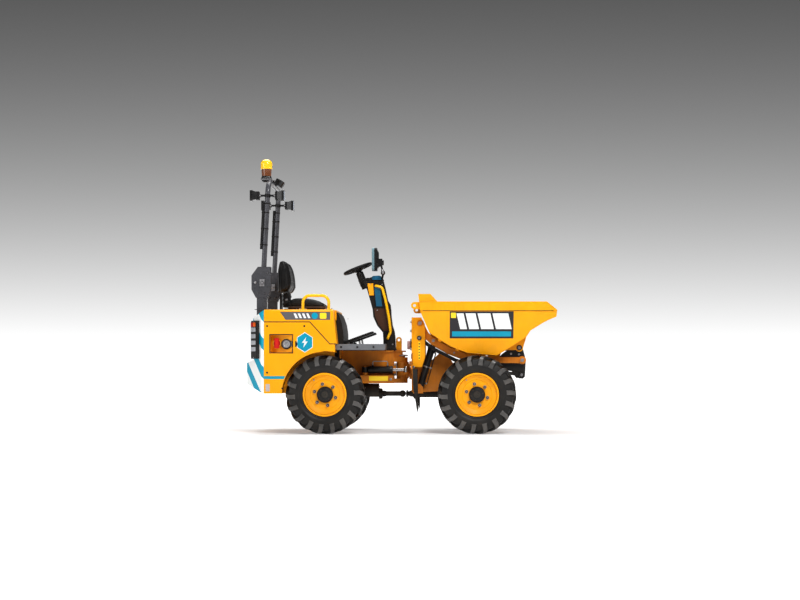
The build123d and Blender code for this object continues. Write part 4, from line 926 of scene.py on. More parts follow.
# moulded back of the backrest: a bowed sheet in two layers, closed round its rim
ROWS, COLUMNS = 12, 20
points = []
for layer in (0.0, 0.005):
    for v in (i / ROWS for i in range(ROWS + 1)):
        half = 0.205 * (1 - 0.10 * (2 * v - 1) ** 4)
        for u in (2 * k / COLUMNS - 1 for k in range(COLUMNS + 1)):
            x = BACK_X - 0.0675 + layer + 0.020 * u ** 4 + 0.016 * max(0.0, v - 0.7) / 0.3
            points.append((x, half * u, BACK_LOW + 0.012 + 0.262 * v))
wide = COLUMNS + 1
size = (ROWS + 1) * wide
loops = []
for a in (i * wide + k for i in range(ROWS) for k in range(COLUMNS)):
    sheet = (a, a + 1, a + wide + 1, a + wide)
    loops += [sheet, [size + p for p in reversed(sheet)]]
rim = ([*range(wide)] + [i * wide + COLUMNS for i in range(1, ROWS + 1)]
       + [ROWS * wide + k for k in range(COLUMNS - 1, -1, -1)] + [i * wide for i in range(ROWS - 1, 0, -1)])
loops += [(a, b, b + size, a + size) for a, b in zip(rim, rim[1:] + rim[:1])]
shell.faces(points, loops, 1, True)
# recliner column between the cushion and the backrest, in seven folds
for k in range(7):
    grow = 0.004 if k % 2 else 0.0
    fold = rounded(-1.066 - grow, -1.008 + grow, -0.070 - grow, 0.070 + grow, 0.014)
    shell.flat(fold, Z * (1.112 + 0.018 * k), 0.018, 1)
for side in (-1, 1):
    shell.knob([(0.074, 0.019), (0.086, 0.019), (0.089, 0.015)], (-1.037, 0, 1.150), Y * side, 28, 1)
    shell.side([(-1.000, PAN_LOW + 0.010), (-0.955, PAN_LOW + 0.010), (-1.030, 1.190), (-1.058, 1.190)],
               side * 0.0745, side * 0.0785, 2)
    shell.bolt((-1.032, side * 0.0785, 1.178), Y * side, 0.012, 3)
shell.done(bevel=0.0015, angle=40)

slides = Piece("seat_slides", "rear_frame", zinc, steel)
for side in (-1, 1):
    y = side * 0.150
    slides.box((-0.975, y - 0.014, BODY_TOP + 0.0005), (-0.720, y + 0.014, BODY_TOP + 0.006), 1)
    for x in (-0.96, -0.74):
        slides.bolt((x, side * 0.2085, BODY_TOP), Z, 0.010)
# release bar under the cushion's front
bar = [(-0.70, 0.10, 0.004), (-0.672, 0.10, 0.001), (-0.664, 0.06, 0.0)]
bar += [(x, -y, z) for x, y, z in reversed(bar)]
slides.tube(curve([(x, y, PAN_LOW + z) for x, y, z in bar], 6), 0.004, 10, 1)
slides.done(bevel=0.001)

# ---------------------------------------------------------------- steering tower
TOWER_TOP = 1.346
# height, half width
TOWER_WIDTH = [(0.739, 0.060), (0.950, 0.066), (1.250, 0.100), (TOWER_TOP, 0.104), (1.5, 0.104)]
# moulded side cover, split into an upper, a middle and a foot part, with a teal inlay and an amber stripe:
# (rows of (z, x0, x1) from the bottom up, lift, thickness, material)
COVERS = [([(1.112, -0.237, -0.134), (1.176, -0.252, -0.140), (1.262, -0.272, -0.156),
            (1.328, -0.305, -0.170)], -0.001, 0.004, 0),
          ([(1.118, -0.234, -0.180), (1.240, -0.246, -0.190), (1.300, -0.250, -0.197)], 0.003, 0.003, 1),
          ([(1.214, -0.294, -0.253), (1.322, -0.312, -0.259)], 0.0032, 0.0016, 2),
          ([(0.900, -0.168, -0.084), (0.955, -0.212, -0.098), (1.030, -0.244, -0.110),
            (1.100, -0.252, -0.118)], -0.001, 0.004, 3),
          ([(0.752, -0.164, -0.070), (0.820, -0.164, -0.072), (0.890, -0.166, -0.080)], -0.001, 0.003, 0)]


def tower_half(z):
    """Half width of the tower at a height."""
    for (z0, y0), (z1, y1) in zip(TOWER_WIDTH, TOWER_WIDTH[1:]):
        if z <= z1:
            return y0 + (y1 - y0) * (z - z0) / (z1 - z0)
    return TOWER_WIDTH[-1][1]


def skin(piece, rows, sign, lift, thick, material):
    """Panel that follows the tower's side; rows are (z, x0, x1) from the bottom up."""
    rows = [Vector(row) for row in rows]
    fine = [a.lerp(b, k / 4) for a, b in zip(rows, rows[1:]) for k in range(4)] + rows[-1:]
    points = []
    for z, a, b in fine:
        y = sign * (tower_half(z) + lift)
        points += [(a, y, z), (b, y, z), (b, y + sign * thick, z), (a, y + sign * thick, z)]
    piece.loft(points, 4, material)


tower = Piece("tower_trim", "rear_frame",
              tower_skin, tower_teal, housing, brown_skin, zinc, lamp_black, glass)
for sign in (-1, 1):
    for rows, lift, thick, material in COVERS:
        skin(tower, rows, sign, lift, thick, material)
    for x, z in ((-0.150, 1.130), (-0.286, 1.315), (-0.180, 1.315), (-0.225, 1.085), (-0.128, 1.085),
                 (-0.105, 0.915), (-0.150, 0.780), (-0.088, 0.780)):
        tower.bolt((x, sign * (tower_half(z) + 0.002), z), Y * sign, 0.008, 4, 0.35)
# dash on the tower's head: a rounded top with display, keys and selector; outlines are (x, height)
DASH = [(-0.356, -0.004), (-0.350, 0.010), (-0.300, 0.024), (-0.262, 0.036), (-0.205, 0.040), (-0.180, 0.026),
        (-0.172, -0.004)]
DASH_BAND = [(-0.268, 0.008), (-0.272, 0.036), (-0.258, 0.043), (-0.206, 0.046), (-0.190, 0.040),
             (-0.186, 0.008)]
for outline, half, material in ((DASH, 0.098, 0), (DASH_BAND, 0.101, 1)):
    tower.side([(x, TOWER_TOP + h) for x, h in outline], -half, half, material)
slope = vec(0.050, 0, 0.014).normalized()
up = vec(-slope.z, 0, slope.x)
panel = vec(-0.325, 0, TOWER_TOP + 0.0175)
tower.plate(rounded(-0.026, 0.024, -0.075, 0.020, 0.005), panel, slope, Y, up * 0.006, 5)
tower.plate(rounded(-0.021, 0.019, -0.070, 0.015, 0.003), panel + up * 0.006, slope, Y, up * 0.0008, 6)
for k in range(3):
    button = panel + Y * (0.036 + 0.022 * k) + slope * 0.002
    tower.plate(rounded(-0.010, 0.010, -0.008, 0.008, 0.003), button, slope, Y, up * 0.008, 5)
# rubber boot at the foot
for k in range(4):
    grow = 0.010 - 0.002 * k
    boot = rounded(-0.172 - grow, -0.062 + grow, -0.061 - grow, 0.061 + grow, 0.012)
    tower.flat(boot, Z * (0.7285 + 0.0065 * k), 0.0045, 5)
tower.done(bevel=0.0018)

# ---------------------------------------------------------------- steering wheel and column
WHEEL, TILT = vec(-0.402, 0, 1.459), radians(21.5)
WHEEL_UP, WHEEL_SIDE = vec(-sin(TILT), 0, cos(TILT)), vec(cos(TILT), 0, sin(TILT))
RING, GRIP, RING_STEPS, GRIP_STEPS = 0.124, 0.013, 144, 16
# spoke cuts: (distance out, half width, low, high)
SPOKE = [(0.020, 0.021, -0.006, 0.006), (0.050, 0.0165, -0.006, 0.004), (0.085, 0.0135, -0.0055, 0.003),
         (0.112, 0.016, -0.0045, 0.0045), (0.122, 0.020, -0.004, 0.004)]
cover = Piece("column_cover", "rear_frame", plastic, lamp_black)
cover.turned([(0.032, 0.0195), (0.036, 0.030), (0.044, 0.033), (0.066, 0.0335), (0.094, 0.0335),
              (0.140, 0.0335), (0.160, 0.036)], WHEEL, -WHEEL_UP, 40)
for at in (0.100, 0.118, 0.136):
    cover.turned([(at, 0.0335), (at + 0.004, 0.0365), (at + 0.010, 0.0365), (at + 0.014, 0.0335)],
                 WHEEL, -WHEEL_UP, 40)
for sign in (-1, 1):
    root = WHEEL - WHEEL_UP * 0.070 + Y * sign * 0.030
    tip = root + vec(0.004, sign * 0.085, 0) + WHEEL_UP * 0.014
    cover.tube([root, root + Y * sign * 0.02, tip], 0.0045, 12, 1)
    cover.knob([(0, 0.006), (0.006, 0.0095), (0.026, 0.0095), (0.031, 0.006)], tip, (0, sign, 0.1), 16, 1)
cover.done(bevel=0.001)

rim = Piece("steering_wheel_grip", "steering_wheel", plastic, lamp_black)
points = []
for i, ray in enumerate(rays(RING_STEPS, 0, WHEEL_SIDE, Y)):
    grip = 0.0012 * cos(2 * pi * 36 * i / RING_STEPS)
    for a in (2 * pi * k / GRIP_STEPS for k in range(GRIP_STEPS)):
        inner = max(0.0, -cos(a)) + max(0.0, -sin(a)) * 0.6
        r = GRIP - grip * inner
        points.append(WHEEL + ray * (RING + r * cos(a)) + WHEEL_UP * r * sin(a))
rim.loft(points, GRIP_STEPS, 0, True, closed=True)
for ray in rays(3, 90, Y, WHEEL_UP.cross(Y)):
    wide = WHEEL_UP.cross(ray)
    rim.loft([WHEEL + ray * q + wide * half * a + WHEEL_UP * h for q, half, low, high in SPOKE
              for a, h in ((-1, low), (1, low), (0.8, high), (-0.8, high))], 4)
rim.turned([(-0.029, 0.0), (-0.029, 0.030), (-0.024, 0.036), (-0.016, 0.052), (-0.011, 0.060),
            (-0.007, 0.058), (-0.006, 0.036), (-0.006, 0.0345), (0.006, 0.0345), (0.013, 0.031),
            (0.015, 0.027)], WHEEL, WHEEL_UP, 44)
rim.turned([(0.0145, 0.0272), (0.0125, 0.0262), (0.0125, 0.0255), (0.0168, 0.0240), (0.0185, 0.018),
            (0.0195, 0.0)], WHEEL, WHEEL_UP, 44, 1)
rim.done(bevel=0.0015, stands_for=["steering_wheel"])

# ---------------------------------------------------------------- mirror
GLASS_X, BACK_FACE, STEM_Y, STEM_Z = -0.262, -0.222, -0.150, 1.502
MIRROR_Y, MIRROR_Z = (-0.225, -0.075), (1.430, 1.630)


def mirror_outline(inset, radius):
    """Outline of the mirror, drawn in from its edge."""
    (y0, y1), (z0, z1) = MIRROR_Y, MIRROR_Z
    return rounded(y0 + inset, y1 - inset, z0 + inset, z1 - inset, radius, 7)


mirror = Piece("mirror_glass", "rear_frame", grey_teal, mirror_face, zinc, lamp_black)
outer, inner = mirror_outline(0.0, 0.025), mirror_outline(0.007, 0.020)
bezel = [(GLASS_X - lift, y, z)
         for loop, lift in ((outer, 0.0), (outer, 0.003), (inner, 0.004), (inner, 0.0)) for y, z in loop]
mirror.faces(bezel, joined(4, len(outer)))
mirror.cross(inner, X * (GLASS_X + 0.0002), X * -0.0018, 1)
# domed back with two ribs, the clamp and its wing screw
for k in (1, 2, 3):
    mirror.cross(mirror_outline(0.008 * k, 0.022), X * BACK_FACE, X * 0.003 * k, 3)
for y in (-0.19, -0.11):
    rib = [(-0.2135, 1.452), (-0.208, 1.470), (-0.208, 1.590), (-0.2135, 1.608)]
    mirror.side(rib, y - 0.004, y + 0.004, 3)
mirror.knob([(0, 0.020), (0.012, 0.020), (0.016, 0.016)], (-0.178, STEM_Y, STEM_Z), X, 32, 3)
for ray in rays(8, 0, Y, Z):
    grip = vec(-0.174, STEM_Y, STEM_Z) + ray * 0.0195
    mirror.bar(grip, grip + X * 0.011, 0.003, 8, 3)
mirror.turned([(-0.006, 0.0095), (-0.006, 0.0135), (0.010, 0.0125), (0.014, 0.0095)],
              (-0.1735, STEM_Y, 1.428), (-0.22, 0, 1), 24, 2)
mirror.knob([(0, 0.012), (0.008, 0.012), (0.012, 0.008)], (-0.170, -0.170, 1.412), -Y, 24, 2)
mirror.bar((-0.170, -0.186, 1.396), (-0.170, -0.186, 1.428), 0.004, 10, 2, 0.001)
mirror.turned([(0.003, 0.020), (0.007, 0.020), (0.010, 0.014), (0.020, 0.0105)], (-0.185, -0.070, TOWER_TOP),
              (0.15, -0.8, 0.54), 28, 3)
mirror.done(bevel=0.0008)

# ---------------------------------------------------------------- floor and treadles
floor_low, floor_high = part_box("floor_plate")
FLOOR_TOP, FLOOR_HALF = floor_high.z, floor_high.y
floor = Piece("floor_tread", "rear_frame", floor_steel, steel)
PITCH = 0.030
# one raised lozenge: (along, across, height) of its foot and of its smaller top
LOZENGE = [(-1, 0, 0), (0, -1, 0), (1, 0, 0), (0, 1, 0),
           (-0.55, 0, 0.0017), (0, -0.5, 0.0017), (0.55, 0, 0.0017), (0, 0.5, 0.0017)]
row = 0
x = floor_low.x + 0.040
while x < floor_high.x - 0.014:
    lean = 0.7 if row % 2 else -0.7
    along, over = vec(lean, 1, 0).normalized(), vec(1, -lean, 0).normalized()
    y = -FLOOR_HALF + 0.022 + (PITCH / 2 if row % 2 else 0.0)
    while y < FLOOR_HALF - 0.018:
        under_tower = x > -0.186 and abs(y) < 0.122
        under_pedal = abs(abs(y) - 0.220) < 0.040 and x < -0.415
        if not (under_tower or under_pedal):
            foot = vec(x, y, FLOOR_TOP - 0.0002)
            points = [foot + along * p * 0.0105 + over * q * 0.0032 + Z * h for p, q, h in LOZENGE]
            floor.faces(points, joined(2, 4) + [(4, 5, 6, 7)])
        y += PITCH
    x += PITCH * 0.5
    row += 1
for sign in (-1, 1):
    for x in (-0.52, -0.38, -0.24):
        floor.bolt((x, sign * FLOOR_HALF, FLOOR_TOP - 0.026), Y * sign, 0.011, 1, 0.4)
    # folded edge below the plate
    y, z = sign * (FLOOR_HALF - 0.003), floor_low.z + 0.0035
    floor.tube([(floor_low.x + 0.010, y, z), (floor_high.x - 0.006, y, z)], 0.0042, 8)
floor.done()

PEDAL_HEEL, SPRING_TURNS = -0.507, 9
pedal = Piece("treadle_ribs", "rear_frame", lamp_black, zinc, steel)
run = vec(0.252, 0, 0.092).normalized()
lift = vec(-run.z, 0, run.x)
for y in (-0.220, 0.220):
    for k in range(15):
        at = vec(PEDAL_HEEL + 0.006, y, FLOOR_TOP + 0.026) + run * (0.008 + 0.0155 * k)
        pedal.plate(rect(-0.0035, 0.0035, -0.047, 0.047), at, run, Y, lift * 0.003)
    for side in (-1, 1):
        pedal.bolt((PEDAL_HEEL + 0.040, y + side * 0.032, FLOOR_TOP + 0.011), Y * side, 0.013, 1, 0.4)
    low, high = vec(-0.370, y, FLOOR_TOP + 0.001), vec(-0.378, y, FLOOR_TOP + 0.049)
    coil = [low.lerp(high, k / (SPRING_TURNS * 14)) + vec(cos(k * pi / 7), sin(k * pi / 7), 0) * 0.009
            for k in range(SPRING_TURNS * 14 + 1)]
    pedal.tube(coil, 0.0014, 6, 2)
pedal.done(bevel=0.0006)

knee = Piece("seat_front_trim", "rear_frame", zinc)
knee_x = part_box("seat_front_panel")[1].x
for y in (-0.28, 0.28):
    for z, sunk in ((0.82, 0.001), (1.02, 0.004)):
        knee.bolt((knee_x - sunk, y, z), X, 0.009, 0, 0.35)
knee.done()

# ---------------------------------------------------------------- body deck
deck = Piece("deck_trim", "rear_frame", dark_film, zinc, plastic)
for sign in (-1, 1):
    deck.flat(ribbon([(BODY_REAR + 0.03, sign * 0.45), (-0.66, sign * 0.45)], 0.006), Z * BODY_TOP, 0.0006)
    for x in (-1.13, -0.90, -0.64):
        deck.bolt((x, sign * 0.485, BODY_TOP), Z, 0.010, 1, 0.35)
    latch = vec(-0.620, sign * 0.30, BODY_TOP)
    deck.flat(rounded(-0.026, 0.026, -0.018, 0.018, 0.006), latch, 0.004, 2)
    deck.flat(rounded(-0.014, 0.018, -0.010, 0.010, 0.004), latch + Z * 0.004, 0.004, 1)
deck.done(bevel=0.001)

# ---------------------------------------------------------------- front unit
MAST_OUT, ARM_OUT, LIFT_Y, PLATE_X, STRIP_Z = 0.310, 0.293, 0.205, 0.087, 0.578
P1, P2, Q1, Q2 = (0.160, 0.961), (0.154, 0.832), (1.055, 0.638), (1.049, 0.509)
HINGE, ARM_EYE, LIFT_BASE = (1.030, 0.747), (0.278, 0.811), (0.156, 0.377)
TIP_BASE, TIP_EYE = (0.480, 0.400), (0.820, 0.648)


def weld(piece, path, radius, material=0):
    """Weld bead: overlapping ripples along a path."""
    path = [Vector(p) for p in path]
    points = []
    for a, b in zip(path, path[1:]):
        count = max(2, int((b - a).length / (radius * 1.5)))
        points += [a.lerp(b, k / count) for k in range(count)]
    piece.tube(points + path[-1:], radius, 6, material, dents=0.78)


def pin_cap(piece, place, y, sign, radius, material=1):
    """Retained pin end: raised ring, grease nipple and keeper bolts."""
    out, face = Y * sign, vec(place[0], sign * y, place[1])
    ring = [(-0.001, 0.55), (0.003, 0.6), (0.004, 0.5), (0.0005, 0.4), (0.0005, 0.0)]
    piece.turned([(a, radius * share) for a, share in ring], face, out, 28, material)
    piece.turned([(0.0, 0.0035), (0.004, 0.0035), (0.006, 0.0022), (0.009, 0.0028), (0.011, 0.0)],
                 face, out, 12, material)
    for ray in rays(2, 40):
        piece.bolt(face + ray * radius * 0.78, out, radius * 0.22, material, 0.5, plain=True)


front = Piece("front_trim", "front_frame",
              amber_painted_shade, zinc, yellow_film, dark_film, paint, pinkish, flap_rubber)
for sign in (-1, 1):
    y = sign * MAST_OUT
    # scale strip on the mast
    front.side(rounded(0.146, 0.163, 0.642, 0.800, 0.003), y, y + sign * FILM, 2)
    for z in (0.652 + 0.025 * k for k in range(6)):
        front.side(rect(0.149, 0.160, z, z + 0.009), y + sign * FILM, y + sign * 2 * FILM, 3)
    for y, z in ((MAST_OUT, 0.605), (0.238, 0.705)):
        weld(front, [(0.101, sign * y, z), (0.101, sign * y, 1.005)], 0.0032, 4)
    for z in (0.735, 0.815, 0.895, 0.975):
        front.bolt((PLATE_X, sign * 0.274, z), -X, 0.019, 1)
    # welds of the side plates
    for x0, z0, x1, z1, r in ((0.104, 0.352, 0.260, 0.362, 0.0028), (0.260, 0.362, 0.880, 0.402, 0.0028),
                              (0.104, 0.605, 0.320, 0.605, 0.0032)):
        weld(front, [(x0, sign * 0.163, z0), (x1, sign * 0.163, z1)], r)
    for x in (0.16, 0.22, 0.28):
        front.bolt((x, sign * 0.115, 0.618), Z, 0.016, 1)
    # clamp strip and side webs of the mud flap
    front.box((0.1075, sign * 0.455 - 0.085, 0.566), (0.1105, sign * 0.455 + 0.085, 0.590), 1)
    for y in (sign * (0.385 + 0.046 * k) for k in range(4)):
        front.bolt((0.1105, y, STRIP_Z), X, 0.011, 1)
        front.bar((0.098, y, STRIP_Z), (0.106, y, STRIP_Z), 0.005, 10, 1)
        front.bolt((PLATE_X, y, STRIP_Z), -X, 0.011, 1)
    web = [(0.1085, 0.562), (0.140, 0.562), (0.146, 0.300), (0.1475, 0.250), (0.1165, 0.400)]
    for y in (0.3655, 0.5385):
        front.side(web, sign * y, sign * (y + 0.006), 6)
    # small round marker under the horn
    front.turned([(0, 0.0), (0, 0.022), (0.004, 0.022), (0.006, 0.020), (0.006, 0.016), (0.0045, 0.0)],
                 (PLATE_X, sign * 0.262, 0.672), -X, 32, 5)
    # plate that closes the frame's nose
    for z in (0.418, 0.452):
        front.bolt((0.880, sign * 0.120, z), X, 0.014, 1)
# bolted end ring of the trunnion housing
for ray in rays(6, 30, Y, Z):
    front.bolt(vec(0.206, 0, 0.553) + ray * 0.060, X, 0.012, 1, 0.5)
front.done(bevel=0.0008)

horn_low, _, horn_mid = middle_of("horn")
HORN = vec(horn_low.x, horn_mid.y, horn_mid.z)
horn = Piece("horn_disc", "front_frame", lamp_black, pinkish, zinc)
horn.turned([(-0.026, 0.0352), (-0.022, 0.0365), (0.0, 0.0365), (0.003, 0.034), (0.0032, 0.029)],
            HORN, -X, 44, 1)
for r in (0.027, 0.0195, 0.012):
    horn.turned([(0.0005, r), (0.003, r - 0.001), (0.003, r - 0.003), (0.0005, r - 0.004)], HORN, -X, 40, 1)
horn.turned([(0.0, 0.006), (0.004, 0.0055), (0.0055, 0.003), (0.0055, 0.0)], HORN, -X, 24, 2)
for ray in rays(12, 0, Y, Z):
    horn.plate(rect(-0.0008, 0.0008, 0.006, 0.0285), HORN, X.cross(ray), ray, X * -0.0022)
horn.done(bevel=0.0006)

# ---------------------------------------------------------------- lifting linkage
arms = Piece("lift_arm_trim", "lift_arm", amber_painted_shade, zinc)
links = Piece("level_link_trim", "level_links", steel, zinc)
for sign in (-1, 1):
    for piece, place, y, radius in (
            (arms, P1, 0.319, 0.028), (arms, ARM_EYE, 0.301, 0.024), (arms, Q1, 0.301, 0.026),
            (links, P2, 0.318, 0.020), (links, Q2, 0.298, 0.020)):
        pin_cap(piece, place, y, sign, radius)
    # welds round the torque tube, and the stiffening strip of the arm
    weld(arms, [(x, sign * 0.254, z) for x, z in arc(P1, 0.032, 0, 360, 18)], 0.0034)
    strip = ribbon([(0.418, 0.720), (0.572, 0.662), (0.830, 0.640)], 0.020)
    arms.side(strip, sign * ARM_OUT, sign * (ARM_OUT + 0.0015))
    for x, z in ((0.46, 0.704), (0.62, 0.658), (0.79, 0.6435)):
        arms.bolt((x, sign * (ARM_OUT + 0.0015), z), Y * sign, 0.010, 1)
arms.done(bevel=0.0008)
links.done(bevel=0.0005)


def cylinder_dressing(piece, base, eye, y, reach, radius, turned_up, pipe):
    """Gland ring, end band, oil ports and the rigid pipe of a cylinder barrel."""
    low = vec(base[0], y, base[1])
    axis, side, other = frame_of(vec(eye[0], y, eye[1]) - low)
    out = vec(-axis.z, 0, axis.x) * turned_up
    gland = [(-0.030, radius), (-0.029, radius + 0.0035), (-0.004, radius + 0.0035), (0, radius + 0.001),
             (0.0015, radius - 0.004), (0.0015, radius * 0.62)]
    piece.turned([(reach + a, r) for a, r in gland], low, axis, 40)
    for ray in rays(6, 0, side, other):
        piece.bolt(low + axis * reach + ray * (radius - 0.007), axis, 0.005, 1, plain=True)
    piece.turned([(0.040, radius), (0.041, radius + 0.0025), (0.052, radius + 0.0025), (0.053, radius)],
                 low, axis, 40)
    ports = [low + axis * d for d in (0.068, reach - 0.045)]
    for at in ports:
        piece.bar(at + out * (radius - 0.003), at + out * (radius + 0.009), 0.010, 18, 0, 0.001)
        piece.bolt(at + out * (radius + 0.009), out, 0.015, 1, plain=True)
    if pipe:
        a, b = (port + out * (radius + 0.016) for port in ports)
        sink, rise = out * 0.004, out * 0.003
        run = [a, a + axis * 0.010 + rise, a + axis * 0.030 + rise, b - axis * 0.030 + rise,
               b - axis * 0.010 + rise, b]
        piece.tube([a - sink] + curve(run, 5) + [b - sink], 0.0036, 10)
        middle = (ports[0] + ports[1]) / 2
        piece.band(-0.006, 0.006, radius, radius + 0.002, middle, axis, 36, 1)
        piece.plate(rect(-0.006, 0.006, 0, 0.024), middle + out * (radius - 0.002) - Y * 0.006,
                    axis, out, Y * 0.012, 1)


for hand, sign in HANDS[::-1]:
    dressing = Piece(f"lift_cylinder_trim_{hand}", "lift_barrels", steel, zinc)
    cylinder_dressing(dressing, LIFT_BASE, ARM_EYE, sign * LIFT_Y, 0.400, 0.029, -1, True)
    pin_at = vec(LIFT_BASE[0], sign * LIFT_Y, LIFT_BASE[1])
    eye = vec(ARM_EYE[0], sign * LIFT_Y, ARM_EYE[1])
    rod_end = Piece(f"lift_rod_collar_{hand}", "lift_rods", zinc)
    rod_end.turned([(-0.034, 0.0152), (-0.033, 0.0185), (-0.022, 0.0205), (-0.016, 0.0205)],
                   eye, eye - pin_at)
    for way in (-1, 1):
        dressing.turned([(0.0195, 0.020), (0.0205, 0.0235), (0.0190, 0.026)], pin_at, Y * way, 32, 1)
        rod_end.turned([(0.0, 0.0215), (0.0012, 0.021), (0.0016, 0.015), (0.0, 0.0142)],
                       eye + Y * way * 0.020, Y * way)
    dressing.done(bevel=0.0006)
    rod_end.done()

tip = Piece("tip_cylinder_trim", "tip_barrel", steel, zinc)
tip_length = (Vector(TIP_EYE) - Vector(TIP_BASE)).length
cylinder_dressing(tip, TIP_BASE, TIP_EYE, 0.0, tip_length - 0.069, 0.027, 1, True)
tip.done(bevel=0.0006)

STEER_Y, STEER_Z, PORT_REAR, PORT_FRONT = 0.125, 0.553, -0.262, -0.130
steering = Piece("steer_cylinder_trim", "rear_frame", steel, zinc, yellow_film, amber_painted_shade)
for sign in (-1, 1):
    y = sign * STEER_Y
    cylinder_dressing(steering, (-0.330, STEER_Z), (0.035, STEER_Z), y, 0.245, 0.031, 1, False)
    for x in (PORT_REAR, PORT_FRONT):
        for lift in (0.0415, 0.0505):
            nut = [(0, 0.0062), (0.003, 0.0075), (0.008, 0.0075), (0.009, 0.005), (0.009, 0.0)]
            steering.turned([(lift + a, r) for a, r in nut], (x, y, STEER_Z), Z, 18, 1)
    # rigid pipe that feeds the cylinder, clipped along its back
    run = ((PORT_REAR, 0.6115), (PORT_REAR, 0.620), (-0.255, 0.627), (-0.235, 0.629), (-0.155, 0.629),
           (-0.138, 0.627), (PORT_FRONT, 0.620), (PORT_FRONT, 0.6115))
    steering.tube(curve([(x, y, z) for x, z in run], 4), 0.0045, 10, 1)
    y = sign * 0.172
    steering.side(rounded(-0.293, -0.125, 0.456, 0.497, 0.003), y, y + sign * FILM, 2)
    for x in (-0.50, -0.41, -0.10):
        steering.bolt((x, y, 0.470), Y * sign, 0.014, 1)
    weld(steering, [(-0.545, sign * 0.0735, 0.5055), (-0.085, sign * 0.0735, 0.5055)], 0.0034, 3)
steering.done(bevel=0.0006)

# ---------------------------------------------------------------- carrier and skip
carrier = Piece("carrier_trim", "carrier", steel, zinc)
for sign in (-1, 1):
    pin_cap(carrier, HINGE, 0.297, sign, 0.024)
    weld(carrier, [(0.907, sign * 0.2375, 0.622), (0.983, sign * 0.2375, 0.622)], 0.003)
    for x, z in ((0.925, 0.655), (1.030, 0.690), (0.960, 0.695)):
        carrier.bolt((x, sign * 0.250, z), Y * sign, 0.012, 1)
carrier.done(bevel=0.0006)

SKIP_HALF, SKIP_FLOOR_HALF, RIM_LOW, RIM_OUT = 0.520, 0.400, 1.065, 0.530
LEAN_OUT = (SKIP_HALF - SKIP_FLOOR_HALF) / (RIM_LOW - 0.679)
# folded bottom edge of the side
UNDER = [(0.230, 0.912), (0.253, 0.870), (0.418, 0.762), (0.572, 0.701), (0.830, 0.679), (0.898, 0.721),
         (1.082, 0.840), (1.115, 0.893), (1.254, 0.979)]


def skip_half(z):
    """Half width of the skip's outside at a height."""
    return SKIP_HALF if z > RIM_LOW else SKIP_HALF - (RIM_LOW - z) * LEAN_OUT


def panel(piece, sign, outline, layer, material):
    """Thin film on the skip's sloping side."""
    halves = (skip_half(0.0) + FILM * layer, skip_half(0.0) + FILM * (layer + 1))
    points = [(x, sign * (y + z * LEAN_OUT), z) for y in halves for x, z in outline]
    piece.loft(points, len(outline), material)


marks = Piece("skip_markings", "skip", panel_film, white_film, teal_film, yellow_film)
bars = [(slanted(x, 0.905, 1.040, width, 0.032), 1, 1)
        for x, width in ((0.510, 0.060), (0.588, 0.085), (0.691, 0.110), (0.819, 0.136))]
for outline, layer, material in [(rounded(0.420, 0.970, 0.826, 1.057, 0.004), 0, 0)] + bars + [
        (rounded(0.440, 0.950, 0.842, 0.886, 0.003), 1, 2),
        (rounded(0.430, 0.474, 1.000, 1.046, 0.006), 1, 3)]:
    panel(marks, -1, outline, layer, material)
marks.done()

trim = Piece("skip_trim", "skip", skip_paint, dark_film)
runner = ribbon([(x - 0.0055, z - 0.0085) for x, z in UNDER[1:4]] + [(0.740, 0.6770)], 0.019)
for sign in (-1, 1):
    # weld along the folded bottom edge, and a dark strip under the rim band: a painted shadow line
    for ends in zip(UNDER, UNDER[1:]):
        weld(trim, [(x, sign * (skip_half(z) - 0.001), z + 0.002) for x, z in ends], 0.0034)
    trim.side([(0.190, 1.0615), (1.310, 1.0615), (1.312, 1.0655), (0.186, 1.0655)],
              sign * (skip_half(1.06) - 0.004), sign * (SKIP_HALF + 0.003), 1)
    # bead of the rim band
    for x0, z0, x1, z1 in ((0.160, 1.1385, 1.254, 1.1385), (1.2555, 1.137, 1.3415, 1.068)):
        trim.tube([(x0, sign * RIM_OUT, z0), (x1, sign * RIM_OUT, z1)], 0.0035, 8)
    # doubler round the hole of the rear ear, and weld of the hinge bracket
    trim.turned([(0.0, 0.0135), (0.004, 0.0150), (0.004, 0.0235), (0.0, 0.0260)],
                (0.116, sign * 0.502, 1.108), Y * sign, 36)
    weld(trim, [(0.925, sign * 0.256, 0.742), (1.078, sign * 0.256, 0.842)], 0.0034)
    # runner along the floor, between the arms
    trim.side(runner, *sorted((sign * 0.128, sign * 0.136)))
    # stiffening ribs across the underside
    for (x0, z0), (x1, z1), share in ((UNDER[1], UNDER[2], 0.5), (UNDER[2], UNDER[3], 0.45)):
        along = vec(x1 - x0, 0, z1 - z0)
        x, z = x0 + along.x * share, z0 + along.z * share
        along.normalize()
        y0, y1 = sorted((sign * 0.315, sign * (skip_half(z) - 0.030)))
        trim.plate([(-0.020, -0.001), (0.020, -0.001), (0.013, 0.016), (-0.013, 0.016)], (x, y0, z), along,
                   vec(along.z, 0, -along.x), Y * (y1 - y0))
# folded pouring lip
trim.tube([(1.3425, -0.505, 1.0665), (1.3425, 0.505, 1.0665)], 0.004, 8)
weld(trim, [(1.254, -0.49, 0.977), (1.254, 0.49, 0.977)], 0.0032)
trim.done(bevel=0.001)

